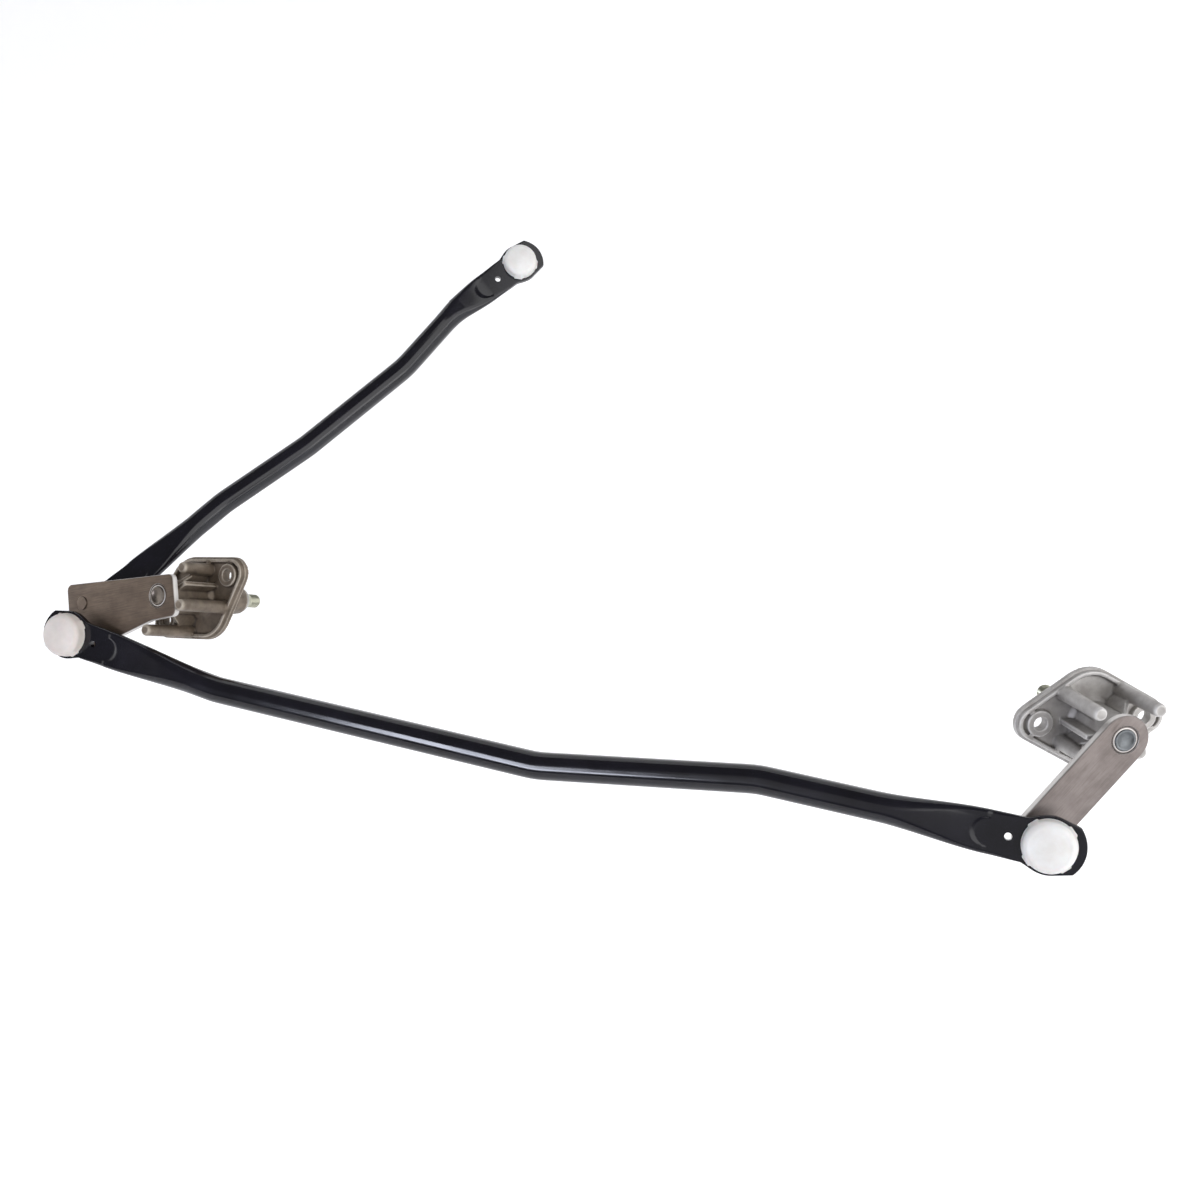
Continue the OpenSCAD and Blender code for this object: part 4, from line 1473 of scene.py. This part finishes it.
@dataclass(frozen=True)
class Studio:
    """A pale paper cove, soft lamps and the camera at the photograph's angle."""

    camera_at: Triple = (375.94, -274.9, 634.24)
    camera_turn: Triple = (21.365, 12.512, 0.04)
    focal_px: float = 1300
    image_px: float = 1200
    sensor_mm: float = 36
    clip_start: float = 10
    hub_r: float = 1
    floor_r: float = 1700
    cove_r: float = 500
    wall_h: float = 1400
    floor_drop: float = 290
    bend_steps: int = 24
    around: int = 128
    paper_colour: str = "#f4f4f4"
    paper_lift: float = 0.42
    sky_colour: str = "#ffffff"
    sky_strength: float = 0.16
    lamps: tuple[Lamp, ...] = (
        Lamp("key", watts=26.0, width=2200, height=2200, azimuth=75, elevation=42),
        Lamp("streak", watts=12.0, width=650, height=280, azimuth=-42, elevation=48, colour="#e6ebfb"),
        Lamp("top_fill", watts=1.6, width=1200, height=1200, azimuth=0, elevation=62),
        Lamp("left_fill", watts=1.9, width=770, height=770, azimuth=-95, elevation=20, distance=1700),
        Lamp("right_fill", watts=2.6, width=930, height=930, azimuth=48, elevation=17, distance=1700),
    )

    def camera(self) -> None:
        """Sets the camera where the photograph was taken from."""
        lens = bpy.data.cameras.new("camera")
        lens.sensor_width = self.sensor_mm
        lens.lens = self.focal_px / self.image_px * self.sensor_mm
        lens.clip_start = self.clip_start * MM
        made = bpy.data.objects.new("camera", lens)
        made.location = [c * MM for c in self.camera_at]
        made.rotation_euler = [math.radians(a) for a in self.camera_turn]
        bpy.context.scene.collection.objects.link(made)
        bpy.context.scene.camera = made

    def cove(self, middle: Array, height: float) -> None:
        """Lays round paper under the object that curves up into a wall on every side.

        The profile is a floor, a quarter circle and a wall, turned about the middle of the object. The floor
        lies low enough for the loose rods, which hang below the rest pose when the joints turn to a limit.

        Args:
            middle: Middle of the object, in metres.
            height: Height of its lowest point, in metres.
        """
        bend = arc((self.floor_r, self.cove_r), self.cove_r, -90, 0, self.bend_steps)
        profile = np.concatenate([[(self.hub_r, 0)], bend, [(self.floor_r + self.cove_r, self.wall_h)]])
        angle = 2 * np.pi * np.arange(self.around) / self.around
        ring = np.stack([np.cos(angle), np.sin(angle), np.zeros(self.around)], axis=-1)
        points = (profile[:, :1, None] * ring + profile[:, 1:, None] * np.array([0, 0, 1])).reshape(-1, 3)
        index, quads = ring_quads(len(profile), self.around)
        faces = quads[:, ::-1].tolist() + [index[0].tolist()]
        centre = np.array([middle[0], middle[1], height - self.floor_drop * MM])
        mesh = bpy.data.meshes.new("cove")
        mesh.from_pydata(points * MM + centre, [], faces)
        mesh.polygons.foreach_set("use_smooth", np.ones(len(mesh.polygons), bool))
        mesh.materials.append(self.paper())
        made = bpy.data.objects.new("cove", mesh)
        bpy.context.scene.collection.objects.link(made)
        made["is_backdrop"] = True

    def paper(self) -> bpy.types.Material:
        """Matte paper that looks white where it is lit and keeps a faint shadow.

        Returns:
            The cove's material.
        """
        made = bpy.data.materials.new("matte_white_paper")
        made.use_nodes = True
        tree = made.node_tree
        tree.nodes.clear()
        rays = add_node(tree, "ShaderNodeLightPath")
        seen = add_node(
            tree, "ShaderNodeMath", operation="MAXIMUM",
            links={0: rays.outputs["Is Camera Ray"], 1: rays.outputs["Is Glossy Ray"]},
        )
        through = add_node(
            tree, "ShaderNodeMath", operation="MAXIMUM",
            links={0: seen.outputs[0], 1: rays.outputs["Is Transmission Ray"]},
        )
        lift = add_node(
            tree, "ShaderNodeMath", {1: self.paper_lift}, {0: through.outputs[0]}, operation="MULTIPLY"
        )
        sheet = add_node(tree, "ShaderNodeBsdfDiffuse", {"Color": linear(self.paper_colour)})
        glow = add_node(
            tree, "ShaderNodeEmission", {"Color": linear(self.sky_colour)}, {"Strength": lift.outputs[0]}
        )
        both = add_node(tree, "ShaderNodeAddShader", links={0: sheet.outputs[0], 1: glow.outputs[0]})
        add_node(tree, "ShaderNodeOutputMaterial", links={"Surface": both.outputs[0]})
        return made

    def sky(self) -> None:
        """Even light from above the cove."""
        world = bpy.data.worlds.new("studio")
        world.use_nodes = True
        tree = world.node_tree
        tree.nodes.clear()
        light = add_node(
            tree, "ShaderNodeBackground", {"Color": linear(self.sky_colour), "Strength": self.sky_strength}
        )
        add_node(tree, "ShaderNodeOutputWorld", links={"Surface": light.outputs[0]})
        bpy.context.scene.world = world

    def build(self) -> None:
        """Makes the camera, cove, sky and lamps."""
        low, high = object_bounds()
        middle = np.array((low + high) / 2)
        self.camera()
        self.cove(middle, low.z)
        self.sky()
        for lamp in self.lamps:
            lamp.hang(middle)
        bpy.context.scene.view_settings.view_transform = "Standard"


# Corner centres and corner radius of each lever's plate
LEVER_CENTRES = {
    Side.LEFT: ((-8.7, -7.2), (69.1, -13.3), (69.1, 22.2), (7.0, 9.3), (-8.7, 9.3)),
    Side.RIGHT: ((0.0, 0.0), (POSE.right_lever_l, 0.0)),
}
LEVER_CORNER_R = {Side.LEFT: 3.6, Side.RIGHT: 11.75}

# Streaks run along the lever, so its own X is drawn out
STREAK = (22.0, 1.0, 1.0)

PAINT = PaintFinish(
    "black_dip_painted_steel", base="#0f0e15", deep="#16151e", metallic=0.0, rough=(0.12, 0.19),
    patch_mm=22, grain_mm=1.4, grain_depth_mm=0.012,
)
# The left cap is the same plastic, painted darker and warmer: painted warm light on the left end
ACETAL = {
    Side.LEFT: PlasticFinish(
        "white_acetal_warm_lit", base="#e6ded8", deep="#dcd3cc", metallic=0.0, rough=(0.34, 0.46),
        patch_mm=9, grain_mm=0.8, grain_depth_mm=0.02,
    ),
    Side.RIGHT: PlasticFinish(
        "white_acetal", base="#f4f3f1", deep="#eae7e3", metallic=0.0, rough=(0.34, 0.46),
        patch_mm=9, grain_mm=0.8, grain_depth_mm=0.02,
    ),
}
# Each casting's colour carries painted shade in its hollows and painted highlights on its edges
CAST = {
    Side.LEFT: CastFinish(
        "die_cast_aluminium_stained", base="#7c6f61", deep="#62574b", metallic=0.4, rough=(0.4, 0.58),
        patch_mm=7, grain_mm=0.7, grain_depth_mm=0.1, hollow_shade="#2b231d", hollow_shade_share=0.75, edge_highlight="#c2b8aa",
    ),
    Side.RIGHT: CastFinish(
        "die_cast_aluminium", base="#b3b0ad", deep="#9e9a97", metallic=0.4, rough=(0.4, 0.58),
        patch_mm=7, grain_mm=0.7, grain_depth_mm=0.1, hollow_shade="#524c47", hollow_shade_share=0.65, edge_highlight="#e2e0de",
    ),
}
PLATE = {
    Side.LEFT: BrushedFinish(
        "zinc_plated_steel_stained", base="#67584b", deep="#57493e", metallic=0.6, rough=(0.32, 0.5),
        patch_mm=14, grain_mm=0.5, grain_depth_mm=0.03, angles=POSE.left_lever().angles(), stretch=STREAK,
        streak_share=0.45,
    ),
    Side.RIGHT: BrushedFinish(
        "zinc_plated_steel", base="#7f7774", deep="#6e6663", metallic=0.7, rough=(0.32, 0.5),
        patch_mm=14, grain_mm=0.5, grain_depth_mm=0.03, angles=POSE.right_lever().angles(), stretch=STREAK,
        streak_share=0.2,
    ),
}
SPINDLE = {
    Side.LEFT: SpindleFinish(
        "turned_zinc_steel_stained", base="#6e665e", deep="#5f5750", metallic=0.9, rough=(0.25, 0.42),
        patch_mm=5, grain_mm=0.4, grain_depth_mm=0.03,
    ),
    Side.RIGHT: SpindleFinish(
        "turned_zinc_steel", base="#6c6f71", deep="#5c5f62", metallic=0.9, rough=(0.25, 0.42),
        patch_mm=5, grain_mm=0.4, grain_depth_mm=0.03,
    ),
}
# Turned and polished, so it mirrors softly
STEEL = Finish(
    "turned_bright_steel", base="#bdbbb7", deep="#a9a7a3", metallic=1.0, rough=(0.22, 0.38),
    patch_mm=6, grain_mm=0.5, grain_depth_mm=0.02,
)
# The same steel under the stain of the left end, dull and brown
RIVET = Finish(
    "stained_steel", base="#6f6359", deep="#5f534a", metallic=0.9, rough=(0.3, 0.45),
    patch_mm=6, grain_mm=0.5, grain_depth_mm=0.02,
)
# Pressed from powder and oiled: dull brown gold with pores
BRONZE = Finish(
    "sintered_bronze", base="#a07a44", deep="#86642f", metallic=0.9, rough=(0.35, 0.55),
    patch_mm=3, grain_mm=0.4, grain_depth_mm=0.05,
)
# Moulded and matt, near black
RUBBER = Finish(
    "nitrile_rubber", base="#232323", deep="#1b1b1b", metallic=0.0, rough=(0.55, 0.75),
    patch_mm=4, grain_mm=0.5, grain_depth_mm=0.04,
)


def rods() -> dict[str, Rod]:
    """Sizes the long rod between the levers and the short rod to the motor.

    Returns:
        The two rods, by short name.
    """
    connecting = Rod(
        "connecting_rod", "connecting_link", POSE.connecting_rod(),
        bends=((100, -12.5), (289, -15.3), (400.5, 1.6)), length=POSE.connecting_l, tube_d=14,
        open_first=68, open_last=54,
    )
    drive = Rod(
        "drive_rod", "drive_link", POSE.drive_rod(),
        bends=((92, 1.2), (152, -5.3), (230, -6), (280, 3.1)), length=POSE.drive_l, tube_d=13,
        open_first=52, open_last=40, twist=24, last_end=MOTOR_END,
    )
    return {"connecting": connecting, "drive": drive}


def levers() -> dict[Side, Lever]:
    """Sizes the two levers, each in its own frame.

    Returns:
        The levers, by side.
    """
    places = {Side.LEFT: POSE.left_lever(), Side.RIGHT: POSE.right_lever()}
    studs = {
        Side.LEFT: ((POSE.left_lever_l, POSE.front_ball_y), (POSE.left_lever_l, POSE.rear_ball_y)),
        Side.RIGHT: ((POSE.right_lever_l, 0.0),),
    }
    return {
        side: Lever(
            f"{side.value}_lever", f"{side.value}_crank", places[side], LEVER_CENTRES[side],
            LEVER_CORNER_R[side], studs[side],
        )
        for side in Side
    }


def sockets(made: dict[str, Rod]) -> list[tuple[Side, Socket]]:
    """Sizes the four ball sockets, each in its rod end's frame.

    Args:
        made: The rods, by short name.

    Returns:
        Each socket with the side whose finish it has.
    """
    seats = (
        ("connecting_left_socket", Side.LEFT, "connecting", RodEnd.FIRST, Facing.UP, {}),
        ("connecting_right_socket", Side.RIGHT, "connecting", RodEnd.LAST, Facing.UP, {}),
        ("drive_lever_socket", Side.LEFT, "drive", RodEnd.FIRST, Facing.DOWN, {}),
        ("drive_motor_socket", Side.RIGHT, "drive", RodEnd.LAST, Facing.UP, {"cap_d": 20.8, "plug_r": 9.08}),
    )
    return [
        (side, Socket(name, made[rod].body, made[rod].end_place(end).turned(facing.value, 0, 0), **sizes))
        for name, side, rod, end, facing, sizes in seats
    ]


def ball_studs() -> list[tuple[Side, BallStud]]:
    """Sizes the three ball studs; the rear one stands on the back of the left lever.

    Returns:
        Each stud with its side.
    """
    left = POSE.left_lever()
    front = left.moved(POSE.left_lever_l, POSE.front_ball_y, POSE.lever_top)
    rear = left.moved(POSE.left_lever_l, POSE.rear_ball_y, POSE.lever_z).turned(Facing.DOWN.value, 0, 0)
    right = POSE.right_lever().moved(POSE.right_lever_l, 0, POSE.lever_top)
    return [
        (Side.LEFT, BallStud("left_front_ball_stud", "left_crank", front)),
        (Side.LEFT, BallStud("left_rear_ball_stud", "left_crank", rear, head_h=0.6)),
        (Side.RIGHT, BallStud("right_ball_stud", "right_crank", right)),
    ]


def dress_small_parts(steel: bpy.types.Material) -> None:
    """Gives the bushes, seals, washers and clips of the frame their finishes.

    Args:
        steel: Finish of the washers and clips.
    """
    bronze = BRONZE.material()
    endings = {
        "upper_bush": bronze, "lower_bush": bronze, "shaft_seal": RUBBER.material(),
        "thrust_washer": steel, "clip_washer": steel, "retaining_clip": steel,
    }
    for side in Side:
        for ending, material in endings.items():
            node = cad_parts[f"{side.value}_{ending}"]
            node.data.materials.clear()
            node.data.materials.append(material)
            LOG.info("%s keeps its solid and gets %s", node.name, material.name)


def main() -> None:
    """Builds the pieces in order, then the studio."""
    logging.basicConfig(level=logging.INFO, format="%(message)s")
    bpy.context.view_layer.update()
    made = rods()
    paint = PAINT.material()
    for rod in made.values():
        dress(rod.build(), paint, rod.name, rod.body)
    acetal = {side: ACETAL[side].material() for side in Side}
    for side, socket in sockets(made):
        dress(socket.build(), acetal[side], socket.name, socket.body)
    steel = STEEL.material()
    stud_steel = {Side.LEFT: RIVET.material(), Side.RIGHT: steel}
    for side, stud in ball_studs():
        dress(stud.build(), stud_steel[side], stud.name, stud.body)
    for side, lever in levers().items():
        dress(lever.build(), PLATE[side].material(), lever.name, lever.body)
        spindle = Spindle(f"{side.value}_spindle", lever.body, lever.place)
        dress(spindle.build(), SPINDLE[side].material(), spindle.name, spindle.body)
        casting = Casting(f"{side.value}_pivot_casting", f"{side.value}_housing")
        dress(casting.build(), CAST[side].material(), casting.name, casting.body)
    dress_small_parts(steel)
    Studio().build()


if __name__ == "__main__":
    main()
